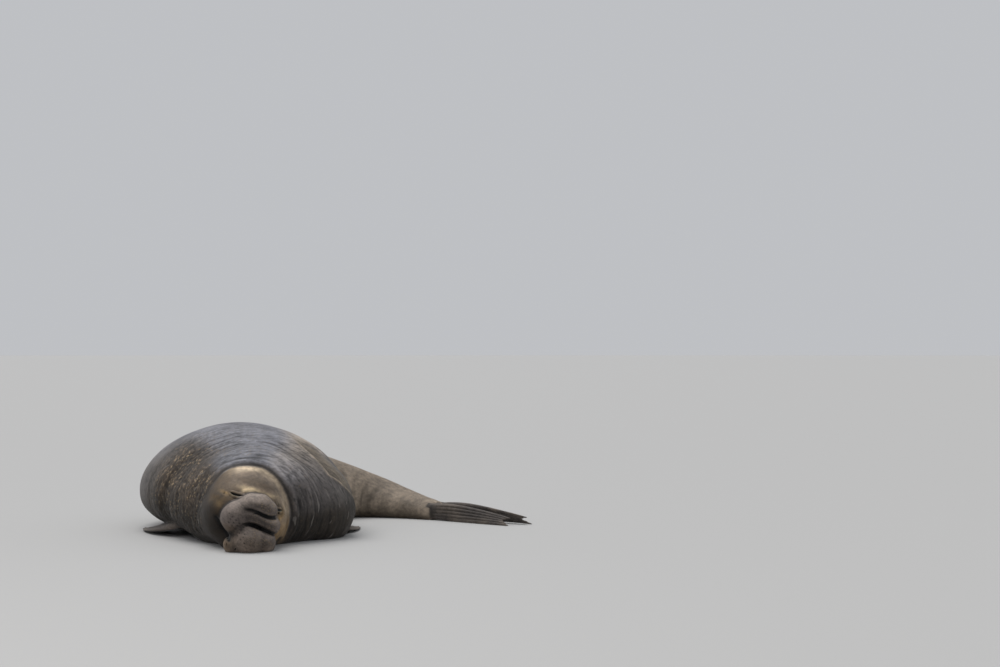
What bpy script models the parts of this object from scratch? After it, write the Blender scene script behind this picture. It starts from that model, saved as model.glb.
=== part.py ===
"""Life-size model of a resting bull elephant seal, in metres, +Z up, its head towards -Y.

The animal sleeps on its belly with its head down, its trunk folded on the ground and its hind
end bent round to its left. The flesh is one closed form: a section carried along a bent spine,
blended with ellipsoids for the skull, cheeks, trunk rolls and jaw. Rays from inside it find its
surface. Thin flat cuts of 0.3 mm part it into head, proboscis, jaw, neck and lengths of body.
The origin is on the ground under the middle of the animal's box.
"""

import math

import bmesh
import bpy
import numpy as np
from mathutils import Matrix, Vector

# Driving sizes
gap = 0.0003
plan_centre = np.array([0.3783, 1.5259])
spine = {
    # plan x, plan y, half width, height; plan is counted from where the snout rests
    "jaw": (0.015, 0.340, 0.100, 0.300),
    "nape": (-0.070, 0.700, 0.330, 0.470),
    "neck": (-0.095, 0.900, 0.480, 0.575),
    "chest": (-0.110, 1.140, 0.590, 0.660),
    "shoulder": (-0.190, 1.440, 0.640, 0.708),
    "back": (-0.300, 1.780, 0.655, 0.705),
    "flank": (-0.280, 2.120, 0.620, 0.660),
    "loin": (-0.080, 2.420, 0.520, 0.560),
    "rump": (0.240, 2.590, 0.400, 0.425),
    "hip": (0.560, 2.600, 0.280, 0.300),
    "tail_root": (0.830, 2.460, 0.180, 0.190),
    "ankle": (1.060, 2.260, 0.100, 0.120),
}
widest_share = 0.38
belly_sink = 0.020
upper_power = 1.85
lower_power = 2.6

# The head's own frame: origin between the eyes, axes to the animal's left, forward and up
head_origin = np.array([0.0235, 0.380, 0.2825])
head_yaw = math.radians(8)
head_roll = math.radians(20)
head_back = -0.20

# Each form is an ellipsoid: centre and half sizes along left, forward and up, and its blend radius
skull_forms = {
    "cranium": ((-0.035, -0.210, -0.045), (0.215, 0.250, 0.200), 0.0),
    "brow": ((-0.005, -0.090, -0.045), (0.185, 0.125, 0.125), 0.06),
    "cheek_left": ((0.110, -0.110, -0.120), (0.110, 0.160, 0.130), 0.05),
    "cheek_right": ((-0.150, -0.130, -0.130), (0.135, 0.190, 0.150), 0.06),
}
# The trunk: two cores, and three rolls that grow out of them. A roll is a chain of centres and
# radii from the animal's right to its left
trunk_cores = {
    "dome": ((-0.085, 0.095, -0.130), (0.100, 0.130, 0.100), 0.0),
    "filling": ((0.010, -0.010, -0.120), (0.135, 0.095, 0.140), 0.05),
}
trunk_rolls = {
    "upper": (
        ((-0.085, 0.085, -0.085), 0.060),
        ((-0.030, 0.085, -0.028), 0.067),
        ((0.025, 0.090, -0.008), 0.063),
        ((0.078, 0.090, -0.018), 0.056),
    ),
    "middle": (
        ((-0.060, 0.105, -0.090), 0.050),
        ((0.025, 0.108, -0.084), 0.047),
        ((0.126, 0.095, -0.100), 0.055),
    ),
    "lower": (
        ((-0.060, 0.150, -0.278), 0.055),
        ((0.025, 0.140, -0.224), 0.087),
        ((0.112, 0.115, -0.207), 0.077),
    ),
}
roll_deep = 1.7
core_blend = 0.040
crease_blend = 0.003
link_blend = 0.030
jaw_forms = {
    "chin": ((0.0, -0.070, -0.270), (0.130, 0.130, 0.070), 0.0),
    "jowl": ((-0.02, -0.140, -0.230), (0.210, 0.180, 0.110), 0.06),
}
neck_forms = {
    # in plan coordinates: the roll of neck behind the head, and the left shoulder
    "hood": ((-0.040, 0.800, 0.240), (0.400, 0.210, 0.315), 0.0),
    "shoulder_left": ((0.290, 1.080, 0.170), (0.260, 0.300, 0.260), 0.10),
}
neck_blend = 0.14
fold_blend = 0.03
face_blend = 0.16
jaw_blend = 0.03
trunk_blend = 0.02
front_length = 0.85
snout_height = 0.165
forms_end = 1.60

# Rows ahead of and behind the front length, points round each row and their crowding over the back
front_rows, back_rows, columns = 40, 29, 62
crowding = 0.25

# Eyes, nearly shut, between their lids; nostrils at the trunk's tip; ear openings
eye_at = {"left": (0.138, 0.000), "right": (-0.138, 0.002)}
eye_half = np.array([0.030, 0.012, 0.0070])
eye_stand = 0.001
lid_half = np.array([0.046, 0.024, 0.017])
lid_rise = 0.0165
lid_sink = 0.015
nostrils_at = [(-0.098, -0.270), (-0.030, -0.285)]
nostril_half = np.array([0.013, 0.022, 0.009])
ears_at = {"left": (0.150, -0.020), "right": (-0.205, -0.020)}
ear_half = np.array([0.007, 0.012, 0.007])

# Flat cuts across the head: ahead of the eyes, and round the lower jaw
nose_cut = 0.06
mouth_up = -0.225
jaw_back = -0.12

# Flippers: three points of the middle line in plan coordinates, widths and thicknesses from root
# to tip, how much shorter each digit is, and how the flat of the flipper turns from root to tip
foreflipper = {
    "widths": (0.150, 0.180, 0.190, 0.170),
    "thicknesses": (0.070, 0.046, 0.026, 0.014),
    "digits_short": (0.00, 0.05, 0.11, 0.18, 0.28),
    "notch": 0.020,
    "turn": (40, 3),
}
hindflipper = {
    "widths": (0.105, 0.120, 0.100, 0.066),
    "thicknesses": (0.055, 0.044, 0.030, 0.016),
    "digits_short": (0.00, 0.04, 0.08, 0.06, 0.02),
    "notch": 0.014,
    "turn": (90, 50),
}
flipper_lines = {
    "foreflipper_left": ((0.300, 1.080, 0.130), (0.480, 1.220, 0.050), (0.470, 1.600, 0.013)),
    "foreflipper_right": ((-0.500, 1.030, 0.130), (-0.730, 1.150, 0.050), (-0.810, 1.530, 0.013)),
    "hindflipper_left": ((1.000, 2.230, 0.062), (1.260, 2.010, 0.062), (1.560, 1.765, 0.026)),
    "hindflipper_right": ((1.080, 2.320, 0.062), (1.350, 2.120, 0.070), (1.700, 1.830, 0.028)),
}
# Linear colour and roughness of each region's skin, of the eyes and of the claws
finishes = {
    "body": ((0.190, 0.185, 0.190), 0.60),
    "head": ((0.230, 0.185, 0.140), 0.65),
    "proboscis": ((0.105, 0.085, 0.072), 0.60),
    "lower": ((0.060, 0.050, 0.042), 0.65),
    "ankles": ((0.240, 0.210, 0.170), 0.65),
    "rump": ((0.240, 0.210, 0.170), 0.65),
    "foreflipper": ((0.110, 0.100, 0.095), 0.60),
    "hindflipper": ((0.100, 0.088, 0.080), 0.60),
    "eye": ((0.010, 0.008, 0.007), 0.10),
    "claw": ((0.020, 0.016, 0.014), 0.35),
}
claw_length = 0.038
claw_half = 0.0065
claw_sink = 0.005
tail_length = 0.095
tail_half = (0.020, 0.016)

# Where flat cuts part the body, as lengths along the spine
hind_side = 0.45
cuts = {"neck": 0.70, "chest": 1.15, "torso": 1.95, "loin": 2.50, "rump": 3.00}


def unit(vector):
    """The vector, or each row of vectors, at length one."""
    vector = np.asarray(vector, float)
    return vector / np.linalg.norm(vector, axis=-1, keepdims=True)


def smooth_through(knots, values, at):
    """A cubic through the values at the knots, with slopes from each knot's two neighbours."""
    knots = np.asarray(knots, float)
    values = np.asarray(values, float)
    slopes = np.gradient(values, knots)
    at = np.clip(at, knots[0], knots[-1])
    cell = np.clip(np.searchsorted(knots, at, side="right") - 1, 0, len(knots) - 2)
    width = knots[cell + 1] - knots[cell]
    t = (at - knots[cell]) / width
    total = (1 + 2 * t) * (1 - t) ** 2 * values[cell]
    total += t * (1 - t) ** 2 * width * slopes[cell]
    total += t * t * (3 - 2 * t) * values[cell + 1]
    total += t * t * (t - 1) * width * slopes[cell + 1]
    return total


def smooth_union(a, b, blend):
    """The nearer of two surfaces, rounded over where they meet within the blend radius."""
    blend = np.maximum(blend, 1e-6)
    near = np.maximum(blend - np.abs(a - b), 0) / blend
    return np.minimum(a, b) - near * near * blend / 4


def head_axes():
    """Rows: the head's left, forward and up directions."""
    forward = np.array([math.sin(head_yaw), -math.cos(head_yaw), 0])
    level = np.array([math.cos(head_yaw), math.sin(head_yaw), 0])
    upright = np.array([0, 0, 1.0])
    left = math.cos(head_roll) * level - math.sin(head_roll) * upright
    up = math.sin(head_roll) * level + math.cos(head_roll) * upright
    return np.array([left, forward, up])


axes = head_axes()


def ellipsoid(points, centre, half_sizes):
    """About how far points, in the ellipsoid's own axes, lie outside it."""
    offset = (points - np.array(centre)) / np.array(half_sizes)
    reach = np.linalg.norm(offset, axis=-1)
    slope = np.linalg.norm(offset / np.array(half_sizes), axis=-1)
    return reach * (reach - 1) / np.maximum(slope, 1e-9)


def forms_distance(points, forms):
    """The distance to a group of ellipsoids, each blended into those before it."""
    total = None
    for centre, half_sizes, blend in forms.values():
        here = ellipsoid(points, centre, half_sizes)
        total = here if total is None else smooth_union(total, here, blend)
    return total


def chain_distance(points, chain):
    """The distance to round links that run from centre to centre, drawn out forward."""
    flatten = np.array([1, 1 / roll_deep, 1])
    total = None
    for (start, radius), (end, end_radius) in zip(chain[:-1], chain[1:]):
        away = (points - np.array(start)) * flatten
        way = (np.array(end) - np.array(start)) * flatten
        t = np.clip(away @ way / (way @ way), 0, 1)
        thick = radius + t * t * (3 - 2 * t) * (end_radius - radius)
        here = np.linalg.norm(away - t[..., None] * way, axis=-1) - thick
        total = here if total is None else smooth_union(total, here, link_blend)
    return total


def trunk_distance(points):
    """The trunk: rolls that grow softly out of the cores and meet each other in sharp creases."""
    cores = forms_distance(points, trunk_cores)
    total = cores
    for chain in trunk_rolls.values():
        roll = smooth_union(cores, chain_distance(points, chain), core_blend)
        total = smooth_union(total, roll, crease_blend)
    return total


def skull_distance(points):
    """The distance to the skull and cheeks."""
    return forms_distance(points, skull_forms)


class Spine:
    """The bent centre line on the ground plan, with the body's half width and height along it."""

    def __init__(self):
        table = np.array(list(spine.values()))
        steps = np.linalg.norm(np.diff(table[:, :2], axis=0), axis=1)
        knots = np.concatenate([[0], np.cumsum(steps)])
        self.length = knots[-1]
        self.along = np.linspace(0, self.length, 400)
        self.columns = [smooth_through(knots, column, self.along) for column in table.T]
        heading = np.stack([np.gradient(self.columns[0]), np.gradient(self.columns[1])], axis=-1)
        heading = unit(heading)
        self.columns += [heading[:, 0], heading[:, 1]]

    def at(self, along):
        """Plan x, plan y, half width, height and the backward direction's two parts."""
        return [np.interp(along, self.along, column) for column in self.columns]

    def nearest(self, points, along):
        """The length along the spine that is square to each point, found in a few steps."""
        for _ in range(3):
            x, y, _, _, hx, hy = self.at(along)
            step = (points[..., 0] - x) * hx + (points[..., 1] - y) * hy
            along = np.clip(along + 0.8 * step, 0, self.length)
        return along


body_spine = Spine()


def torso_distance(points, along):
    """About how far points are outside the trunk: rounded on top, fuller and flat below."""
    along = body_spine.nearest(points, along)
    x, y, half_width, height, hx, hy = body_spine.at(along)
    across = points[..., 0] - x
    back = points[..., 1] - y
    sideways = across * hy - back * hx
    before = -(across * hx + back * hy)
    upward = points[..., 2] - widest_share * height
    above = (1 - widest_share) * height
    below = widest_share * height + belly_sink
    a = np.abs(sideways) / half_width
    up = (a**upper_power + (np.maximum(upward, 0) / above) ** upper_power) ** (1 / upper_power)
    down = (a**lower_power + (np.maximum(-upward, 0) / below) ** lower_power) ** (1 / lower_power)
    outside = (np.where(upward >= 0, up, down) - 1) * np.minimum(half_width, above)
    return np.where(along <= 0, np.maximum(outside, before), outside)


def body_distance(points, along, has_forms):
    """About how far points are outside the whole body, which the ground cuts off flat."""
    torso = torso_distance(points, along)
    local = (points - head_origin) @ axes.T
    neck = smooth_union(torso, forms_distance(points, neck_forms), neck_blend)
    right_side = np.clip((-local[..., 0] - 0.02) / 0.2, 0, 1)
    face = fold_blend + (face_blend - fold_blend) * right_side
    whole = smooth_union(neck, skull_distance(local), face)
    whole = smooth_union(whole, forms_distance(local, jaw_forms), jaw_blend)
    whole = smooth_union(whole, trunk_distance(local), trunk_blend)
    whole = np.where(has_forms, whole, torso)
    return np.maximum(whole, -points[..., 2])


def row_plan():
    """For each row of the skin: its start on the spine and how far its rays lean forward.

    The rays lean from straight ahead at the snout to square across behind the shoulders.
    """
    lean = np.linspace(math.radians(88.5), 0, front_rows)
    eased = np.clip(1 - lean / math.radians(60), 0, 1)
    front = front_length * eased**1.5
    back = np.linspace(front_length, body_spine.length, back_rows + 1)[1:]
    return np.concatenate([front, back]), np.concatenate([lean, 0 * back])


def body_rows(steps=60):
    """Rings of points where rays from the spine leave the body, from the snout to the ankles."""
    start, lean = row_plan()
    turn = 2 * math.pi * np.arange(columns) / columns
    turn = turn + crowding * np.cos(turn)
    along = start[:, None] + 0 * turn
    lean = lean[:, None] + 0 * turn
    x, y, half_width, height, hx, hy = body_spine.at(along)
    eased = np.clip(along / front_length, 0, 1)
    rise = snout_height + (widest_share * height - snout_height) * eased
    centre = np.stack([x, y, rise], axis=-1)
    back = np.stack([hx, hy, 0 * hx], axis=-1)
    left = np.stack([hy, -hx, 0 * hx], axis=-1)
    ring = np.cos(turn)[:, None] * left + np.sin(turn)[:, None] * np.array([0, 0, 1.0])
    direction = np.cos(lean)[..., None] * ring - np.sin(lean)[..., None] * back
    reach = np.where(along > forms_end, 1.2 * half_width + 0.05, 1.0)
    has_forms = along < forms_end
    for _ in range(steps):
        points = centre + reach[..., None] * direction
        reach = np.maximum(reach - 0.8 * body_distance(points, along, has_forms), 0.01)
    points = centre + reach[..., None] * direction
    points[..., 2] = np.where(points[..., 2] < 0.0005, 0, points[..., 2])
    points[..., :2] -= plan_centre
    return points


def outward(mesh, triangles=False):
    """The mesh with all its faces pointing out."""
    work = bmesh.new()
    work.from_mesh(mesh)
    if triangles:
        bmesh.ops.triangulate(work, faces=work.faces)
    bmesh.ops.recalc_face_normals(work, faces=work.faces)
    work.to_mesh(mesh)
    work.free()
    return mesh


def grid_mesh(name, rings):
    """A closed mesh from rings of points, with a flat face at each end."""
    count, columns = rings.shape[:2]
    row, column = np.mgrid[0 : count - 1, 0:columns]
    following = (column + 1) % columns
    a, b = row * columns + column, row * columns + following
    c, d = b + columns, a + columns
    faces = np.stack([a, b, c, a, c, d], axis=-1).reshape(-1, 3).tolist()
    faces.append(list(range(columns))[::-1])
    faces.append(list(range((count - 1) * columns, count * columns)))
    mesh = bpy.data.meshes.new(name)
    mesh.from_pydata(rings.reshape(-1, 3).tolist(), [], faces)
    return outward(mesh)


def swollen(mesh, outside):
    """A copy of the mesh with its surface moved out a little."""
    made = mesh.copy()
    places = np.empty(3 * len(mesh.vertices))
    normals = np.empty_like(places)
    mesh.vertices.foreach_get("co", places)
    mesh.vertex_normals.foreach_get("vector", normals)
    made.vertices.foreach_set("co", places + outside * normals)
    return made


def add_object(name, mesh):
    obj = bpy.data.objects.new(name, mesh)
    bpy.context.scene.collection.objects.link(obj)
    return obj


def largest_part(work):
    """Keeps only the closed surface with the most faces."""
    left = set(work.faces)
    parts = []
    while left:
        part = {left.pop()}
        edge_of = list(part)
        while edge_of:
            face = edge_of.pop()
            beside = {other for edge in face.edges for other in edge.link_faces} & left
            part |= beside
            left -= beside
            edge_of += beside
        parts.append(part)
    keep = max(parts, key=len)
    drop = [face for face in work.faces if face not in keep]
    bmesh.ops.delete(work, geom=drop, context="FACES")
    loose = [vert for vert in work.verts if not vert.link_faces]
    bmesh.ops.delete(work, geom=loose, context="VERTS")


def sliced(mesh, name, planes):
    """A copy of the mesh with all that lies in front of each plane cut off and closed flat."""
    work = bmesh.new()
    work.from_mesh(mesh)
    for point, normal in planes:
        geometry = work.verts[:] + work.edges[:] + work.faces[:]
        cut = bmesh.ops.bisect_plane(
            work, geom=geometry, dist=1e-6, plane_co=point, plane_no=normal, clear_outer=True
        )
        edges = [item for item in cut["geom_cut"] if isinstance(item, bmesh.types.BMEdge)]
        bmesh.ops.edgeloop_fill(work, edges=edges)
    largest_part(work)
    bmesh.ops.recalc_face_normals(work, faces=work.faces)
    result = bpy.data.meshes.new(name)
    work.to_mesh(result)
    work.free()
    return result


def plane_across(along, side):
    """A point and normal of the flat cut square to the spine; side is +1 behind it, -1 before."""
    x, y, _, _, hx, hy = [float(value) for value in body_spine.at(along)]
    normal = Vector((hx, hy, 0)) * side
    point = Vector((x - plan_centre[0], y - plan_centre[1], 0)) - normal * gap / 2
    return point, normal


def plane_ahead(forward, side):
    """A point and normal of the flat cut across the head at a distance before the eyes."""
    normal = Vector(axes[1]) * side
    point = Vector(head_origin + forward * axes[1]) - Vector((*plan_centre, 0))
    return point - normal * gap / 2, normal


def boolean(obj, other, operation):
    """Joins or cuts obj with other, which is then removed."""
    modifier = obj.modifiers.new(operation, "BOOLEAN")
    modifier.operation = operation
    modifier.object = other
    modifier.solver = "EXACT"
    bpy.context.view_layer.update()
    seen = obj.evaluated_get(bpy.context.evaluated_depsgraph_get())
    mesh = bpy.data.meshes.new_from_object(seen)
    obj.modifiers.clear()
    obj.data = mesh
    bpy.data.objects.remove(other)


def material(name, colour, roughness):
    """A Principled material from a linear colour."""
    made = bpy.data.materials.new(name)
    made.use_nodes = True
    shader = made.node_tree.nodes["Principled BSDF"]
    shader.inputs["Base Color"].default_value = (*colour, 1)
    shader.inputs["Roughness"].default_value = roughness
    made.diffuse_color = (*colour, 1)
    return made


def finish(name, colour, roughness):
    """Gives a node its own material, and smooth shading away from its flat ends."""
    mesh = bpy.data.objects[name].data
    mesh.materials.clear()
    mesh.materials.append(material(name, colour, roughness))
    mesh.shade_smooth()
    mesh.set_sharp_from_angle(angle=math.radians(50))


def clear_scene():
    for obj in list(bpy.data.objects):
        bpy.data.objects.remove(obj)


def in_plan(local):
    """A point of the head's frame as a world point."""
    return Vector(head_origin + np.asarray(local) @ axes) - Vector((*plan_centre, 0))


def front_of(left, up, distance):
    """How far forward a surface, given by its distance, lies at a place on the face."""
    forward = 0.5
    for _ in range(90):
        forward -= 0.8 * float(distance(np.array([left, forward, up])))
    return forward


def facing(left, up, distance):
    """The place on a surface at a spot of the face, and its left, outward and up axes."""
    spot = np.array([left, front_of(left, up, distance), up])
    nudge = 0.003 * np.eye(3)
    outside = unit([float(distance(spot + step) - distance(spot - step)) for step in nudge])
    level = unit(np.cross(outside, [0, 0, 1.0]))
    upright = np.cross(level, outside)
    return spot, np.array([level, outside, upright])


def bead(name, spot, turned, half_sizes, rings=8, segments=16):
    """An ellipsoid on the face, as an object with its own place and turn."""
    mesh = bpy.data.meshes.new(name)
    work = bmesh.new()
    bmesh.ops.create_uvsphere(work, u_segments=segments, v_segments=rings, radius=1)
    work.transform(Matrix.Diagonal((*half_sizes, 1)))
    work.to_mesh(mesh)
    work.free()
    obj = add_object(name, mesh)
    turn = Matrix((turned @ axes).T.tolist()).to_4x4()
    obj.matrix_world = Matrix.Translation(in_plan(spot)) @ turn
    return obj


def make_flesh(whole):
    """The head, proboscis, lower jaw, neck and lengths of body, parted by flat cuts."""
    add_object("proboscis", sliced(whole, "proboscis", [plane_ahead(nose_cut, -1)]))
    head_planes = [plane_ahead(nose_cut, 1), plane_ahead(head_back, -1)]
    add_object("head", sliced(whole, "head", head_planes))
    before = plane_ahead(head_back, 1)
    for name, along in cuts.items():
        planes = [before, plane_across(along, 1)]
        add_object(name, sliced(whole, name, planes))
        before = plane_across(along, -1)
    beside = (Vector((hind_side - plan_centre[0], 0, 0)), Vector((-1, 0, 0)))
    add_object("ankles", sliced(whole, "ankles", [before, beside]))


def make_jaw(whole):
    """The lower jaw, cut free of the head along the line of the mouth and behind the chin."""
    upward = Vector(axes[2])
    mouth_point = in_plan((0, 0, mouth_up)) - upward * gap
    planes = [plane_ahead(nose_cut, 1), plane_ahead(jaw_back, -1), (mouth_point, upward)]
    add_object("lower_jaw", sliced(whole, "lower_jaw", planes))
    reach = 0.4
    mesh = bpy.data.meshes.new("jaw_room")
    work = bmesh.new()
    bmesh.ops.create_cube(work, size=2 * reach)
    work.to_mesh(mesh)
    work.free()
    room = add_object("jaw_room", mesh)
    turn = Matrix(axes.T.tolist()).to_4x4()
    ahead = jaw_back - gap / 2 + reach
    room.matrix_world = Matrix.Translation(in_plan((0, ahead, mouth_up - reach))) @ turn
    boolean(bpy.data.objects["head"], room, "DIFFERENCE")


def make_eyes():
    """Each eye, a lens nearly hidden between two lids that are fused to the head."""
    head = bpy.data.objects["head"]
    for side, (left, up) in eye_at.items():
        spot, turned = facing(left, up, skull_distance)
        for rise in (lid_rise, -lid_rise):
            place = spot + turned.T @ [0, -lid_sink, rise]
            boolean(head, bead("lid", place, turned, lid_half), "UNION")
        place = spot + turned.T @ [0, eye_stand, 0]
        boolean(head, bead("pocket", place, turned, eye_half + gap), "DIFFERENCE")
        bead(f"eye_{side}", place, turned, eye_half)
    for left, up in ears_at.values():
        boolean(head, bead("pocket", *facing(left, up, skull_distance), ear_half, 6, 8), "DIFFERENCE")


def make_nostrils():
    """Two slits at the tip of the trunk."""
    proboscis = bpy.data.objects["proboscis"]
    for left, up in nostrils_at:
        pocket = bead("pocket", *facing(left, up, trunk_distance), nostril_half, 6, 12)
        boolean(proboscis, pocket, "DIFFERENCE")


def bent_line(points, share):
    """A point and its direction on the curve drawn by three guide points."""
    start, middle, end = [np.array(point) for point in points]
    share = share[..., None]
    place = (1 - share) ** 2 * start + 2 * share * (1 - share) * middle + share**2 * end
    direction = unit(2 * (1 - share) * (middle - start) + 2 * share * (end - middle))
    return place, direction


def flipper_surface(line, shape, side, rows=12, columns=10):
    """Upper and lower faces of a flipper with five raised digits, as two grids of points."""
    share, across = np.meshgrid(np.linspace(0, 1, rows), np.linspace(-1, 1, columns + 1), indexing="ij")
    digit_centres = np.linspace(0.8, -0.8, 5)
    short = np.interp(-across, -digit_centres, shape["digits_short"])
    between = 0.5 - 0.5 * np.cos(2 * math.pi * (across - 0.8) / 0.4)
    inside = np.abs(across) < 0.9
    reach = 1 - short - shape["notch"] * between * inside
    along = share * reach
    place, direction = bent_line(line, along)
    quarters = np.linspace(0, 1, 4)
    width = smooth_through(quarters, shape["widths"], share)
    thick = smooth_through(quarters, shape["thicknesses"], share)
    turn = np.radians(smooth_through([0, 1], shape["turn"], share))
    level = unit(np.cross(direction, [0, 0, 1.0])) * side
    upright = np.cross(level, direction) * side
    broad = np.cos(turn)[..., None] * level - np.sin(turn)[..., None] * upright
    normal = np.sin(turn)[..., None] * level + np.cos(turn)[..., None] * upright
    edge = np.sqrt(np.maximum(1 - across**4, 0.06))
    ridge = 1 - 0.35 * between * inside * np.clip(share * 2, 0, 1)
    middle = place + (across * width / 2)[..., None] * broad
    half = (thick / 2 * edge * ridge)[..., None] * normal
    return middle + half, middle - half


def plate_mesh(name, upper, lower):
    """A closed mesh between two grids of points, with a rim all round."""
    rows, columns = upper.shape[:2]
    count = rows * columns
    index = np.arange(count).reshape(rows, columns)
    faces = []
    for grid in (index, index[:, ::-1] + count):
        corners = [grid[:-1, :-1], grid[:-1, 1:], grid[1:, 1:], grid[1:, :-1]]
        faces += np.stack(corners, axis=-1).reshape(-1, 4).tolist()
    rim = [*index[0, :-1], *index[:-1, -1], *index[-1, :0:-1], *index[:0:-1, 0]]
    for here, there in zip(rim, rim[1:] + rim[:1]):
        faces.append([int(there), int(here), int(here) + count, int(there) + count])
    verts = np.concatenate([upper.reshape(-1, 3), lower.reshape(-1, 3)])
    verts[:, 2] = np.maximum(verts[:, 2], 0)
    mesh = bpy.data.meshes.new(name)
    mesh.from_pydata(verts.tolist(), [], faces)
    return outward(mesh, triangles=True)


def make_claw(name, flipper, tip, direction, thickness):
    """A claw, a tapered and slightly hooked cone, its root sunk in the end of the digit."""
    sides, rings = 8, 4
    share = np.linspace(0, 1, rings + 1)[:-1, None]
    turn = 2 * math.pi * np.arange(sides) / sides
    half = claw_half * (1 - share) ** 0.7
    x = half * np.cos(turn)
    z = np.minimum(half, thickness) * np.sin(turn) - 0.12 * claw_length * share**2
    rows = np.stack([x, claw_length * share + 0 * x, z], axis=-1)
    verts = rows.reshape(-1, 3).tolist() + [[0, claw_length, -0.12 * claw_length]]
    faces = [list(range(sides))]
    for ring in range(rings - 1):
        for side in range(sides):
            a, b = ring * sides + side, ring * sides + (side + 1) % sides
            faces.append([a, b, b + sides, a + sides])
    last = (rings - 1) * sides
    faces += [[last + side, last + (side + 1) % sides, rings * sides] for side in range(sides)]
    mesh = bpy.data.meshes.new(name)
    mesh.from_pydata(verts, [], faces)
    ahead = Vector(direction)
    turned = ahead.to_track_quat("Y", "Z").to_matrix().to_4x4()
    mesh.transform(Matrix.Translation(Vector(tip) - ahead * claw_sink) @ turned)
    claw = add_object(name, outward(mesh))
    boolean(flipper, add_object("socket", swollen(claw.data, 1.6 * gap)), "DIFFERENCE")


def make_flippers(inflated):
    """Four flippers, cut clear of the body by the gap, and the claws of the two in front."""
    for name, line in flipper_lines.items():
        fore = name.startswith("fore")
        side = 1 if name.endswith("left") else -1
        shape = foreflipper if fore else hindflipper
        line = [np.array(point) - [*plan_centre, 0] for point in line]
        upper, lower = flipper_surface(line, shape, side)
        flipper = add_object(name, plate_mesh(name, upper, lower))
        body = add_object("inflated", inflated)
        boolean(flipper, body, "DIFFERENCE")
        work = bmesh.new()
        work.from_mesh(flipper.data)
        largest_part(work)
        work.to_mesh(flipper.data)
        work.free()
        if not fore:
            continue
        for digit in range(5):
            column = 9 - 2 * digit
            tip = (upper[-1, column] + lower[-1, column]) / 2
            thickness = float(np.linalg.norm(upper[-1, column] - lower[-1, column])) / 2
            tip[2] = max(tip[2], thickness)
            direction = unit(upper[-1, column] - upper[-2, column])
            direction[2] = 0
            make_claw(f"{name}_claw_{digit + 1}", flipper, tip, unit(direction), thickness)


def make_tail():
    """The short tail, a blunt cone between the roots of the hind flippers."""
    x, y, _, height, hx, hy = [float(value) for value in body_spine.at(body_spine.length)]
    sides, rings = 10, 5
    share = np.linspace(0, 0.94, rings)[:, None]
    turn = 2 * math.pi * np.arange(sides) / sides
    half = np.sqrt(1 - share**2)
    across = tail_half[0] * half * np.cos(turn)
    upward = tail_half[1] * half * np.sin(turn) + 0.72 * height - 0.15 * tail_length * share
    back = gap + tail_length * share + 0 * across
    points = np.stack(
        [
            x - plan_centre[0] + back * hx + across * hy,
            y - plan_centre[1] + back * hy - across * hx,
            upward,
        ],
        axis=-1,
    )
    add_object("tail", grid_mesh("tail", points))


def finish_all():
    """Skin colours by region, and glossy dark eyes and claws."""
    for obj in list(bpy.data.objects):
        region = obj.name.split("_")[0]
        colour, roughness = finishes.get("claw" if "claw" in obj.name else region, finishes["body"])
        finish(obj.name, colour, roughness)


def main():
    clear_scene()
    whole = grid_mesh("whole", body_rows())
    make_flesh(whole)
    make_jaw(whole)
    make_eyes()
    make_nostrils()
    make_flippers(swollen(whole, 1.4 * gap))
    make_tail()
    finish_all()


if __name__ == "__main__":
    main()
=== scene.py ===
# A resting bull elephant seal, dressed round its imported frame: one wrinkled skin with a short coat,
# wet eyes between heavy lids, whiskers and claws, on a pale studio floor.
# Lengths are metres. Plan coordinates count from where the snout rests on the ground.

import math

import bmesh
import bpy
import mathutils
import numpy as np
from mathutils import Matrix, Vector


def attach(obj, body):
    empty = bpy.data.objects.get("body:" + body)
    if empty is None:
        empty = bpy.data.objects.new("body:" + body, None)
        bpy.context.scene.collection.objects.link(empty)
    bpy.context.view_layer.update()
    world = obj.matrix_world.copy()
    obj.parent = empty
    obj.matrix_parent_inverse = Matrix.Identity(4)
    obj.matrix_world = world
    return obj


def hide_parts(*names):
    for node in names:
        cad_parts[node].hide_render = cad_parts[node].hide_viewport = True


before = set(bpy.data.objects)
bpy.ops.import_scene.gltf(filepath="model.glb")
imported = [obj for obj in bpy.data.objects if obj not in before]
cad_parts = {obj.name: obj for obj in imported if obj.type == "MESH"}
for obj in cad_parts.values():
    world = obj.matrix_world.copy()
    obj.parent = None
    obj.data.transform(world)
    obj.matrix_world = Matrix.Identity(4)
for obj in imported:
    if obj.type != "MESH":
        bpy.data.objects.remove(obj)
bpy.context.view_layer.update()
print("frame loaded")

planCentre = np.array([0.3783, 1.5259, 0.0])

# Stations down the back: plan x, plan y, half width, height
stations = {
    "jaw": (0.015, 0.340, 0.100, 0.300),
    "nape": (-0.070, 0.700, 0.330, 0.470),
    "neck": (-0.095, 0.900, 0.480, 0.575),
    "chest": (-0.110, 1.140, 0.590, 0.660),
    "shoulder": (-0.190, 1.440, 0.640, 0.708),
    "back": (-0.300, 1.780, 0.655, 0.705),
    "flank": (-0.280, 2.120, 0.620, 0.660),
    "loin": (-0.080, 2.420, 0.520, 0.560),
    "rump": (0.240, 2.590, 0.400, 0.425),
    "hip": (0.560, 2.600, 0.280, 0.300),
    "tailRoot": (0.830, 2.460, 0.180, 0.190),
    "ankle": (1.060, 2.260, 0.100, 0.120),
}
section = {"widestShare": 0.38, "bellySink": 0.020, "upperPower": 1.85, "lowerPower": 2.6}

# The head's frame: origin between the eyes, axes to the animal's left, forward and up
head = {"origin": (0.0235, 0.380, 0.2825), "yaw": 8, "roll": 20}
# Middles of parts of the head, in its left, forward and up
headSpots = {"trunk": (0, 0.05, -0.14), "face": (0, -0.05, -0.12), "nose": (0.0, 0.10, -0.20)}

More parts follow.
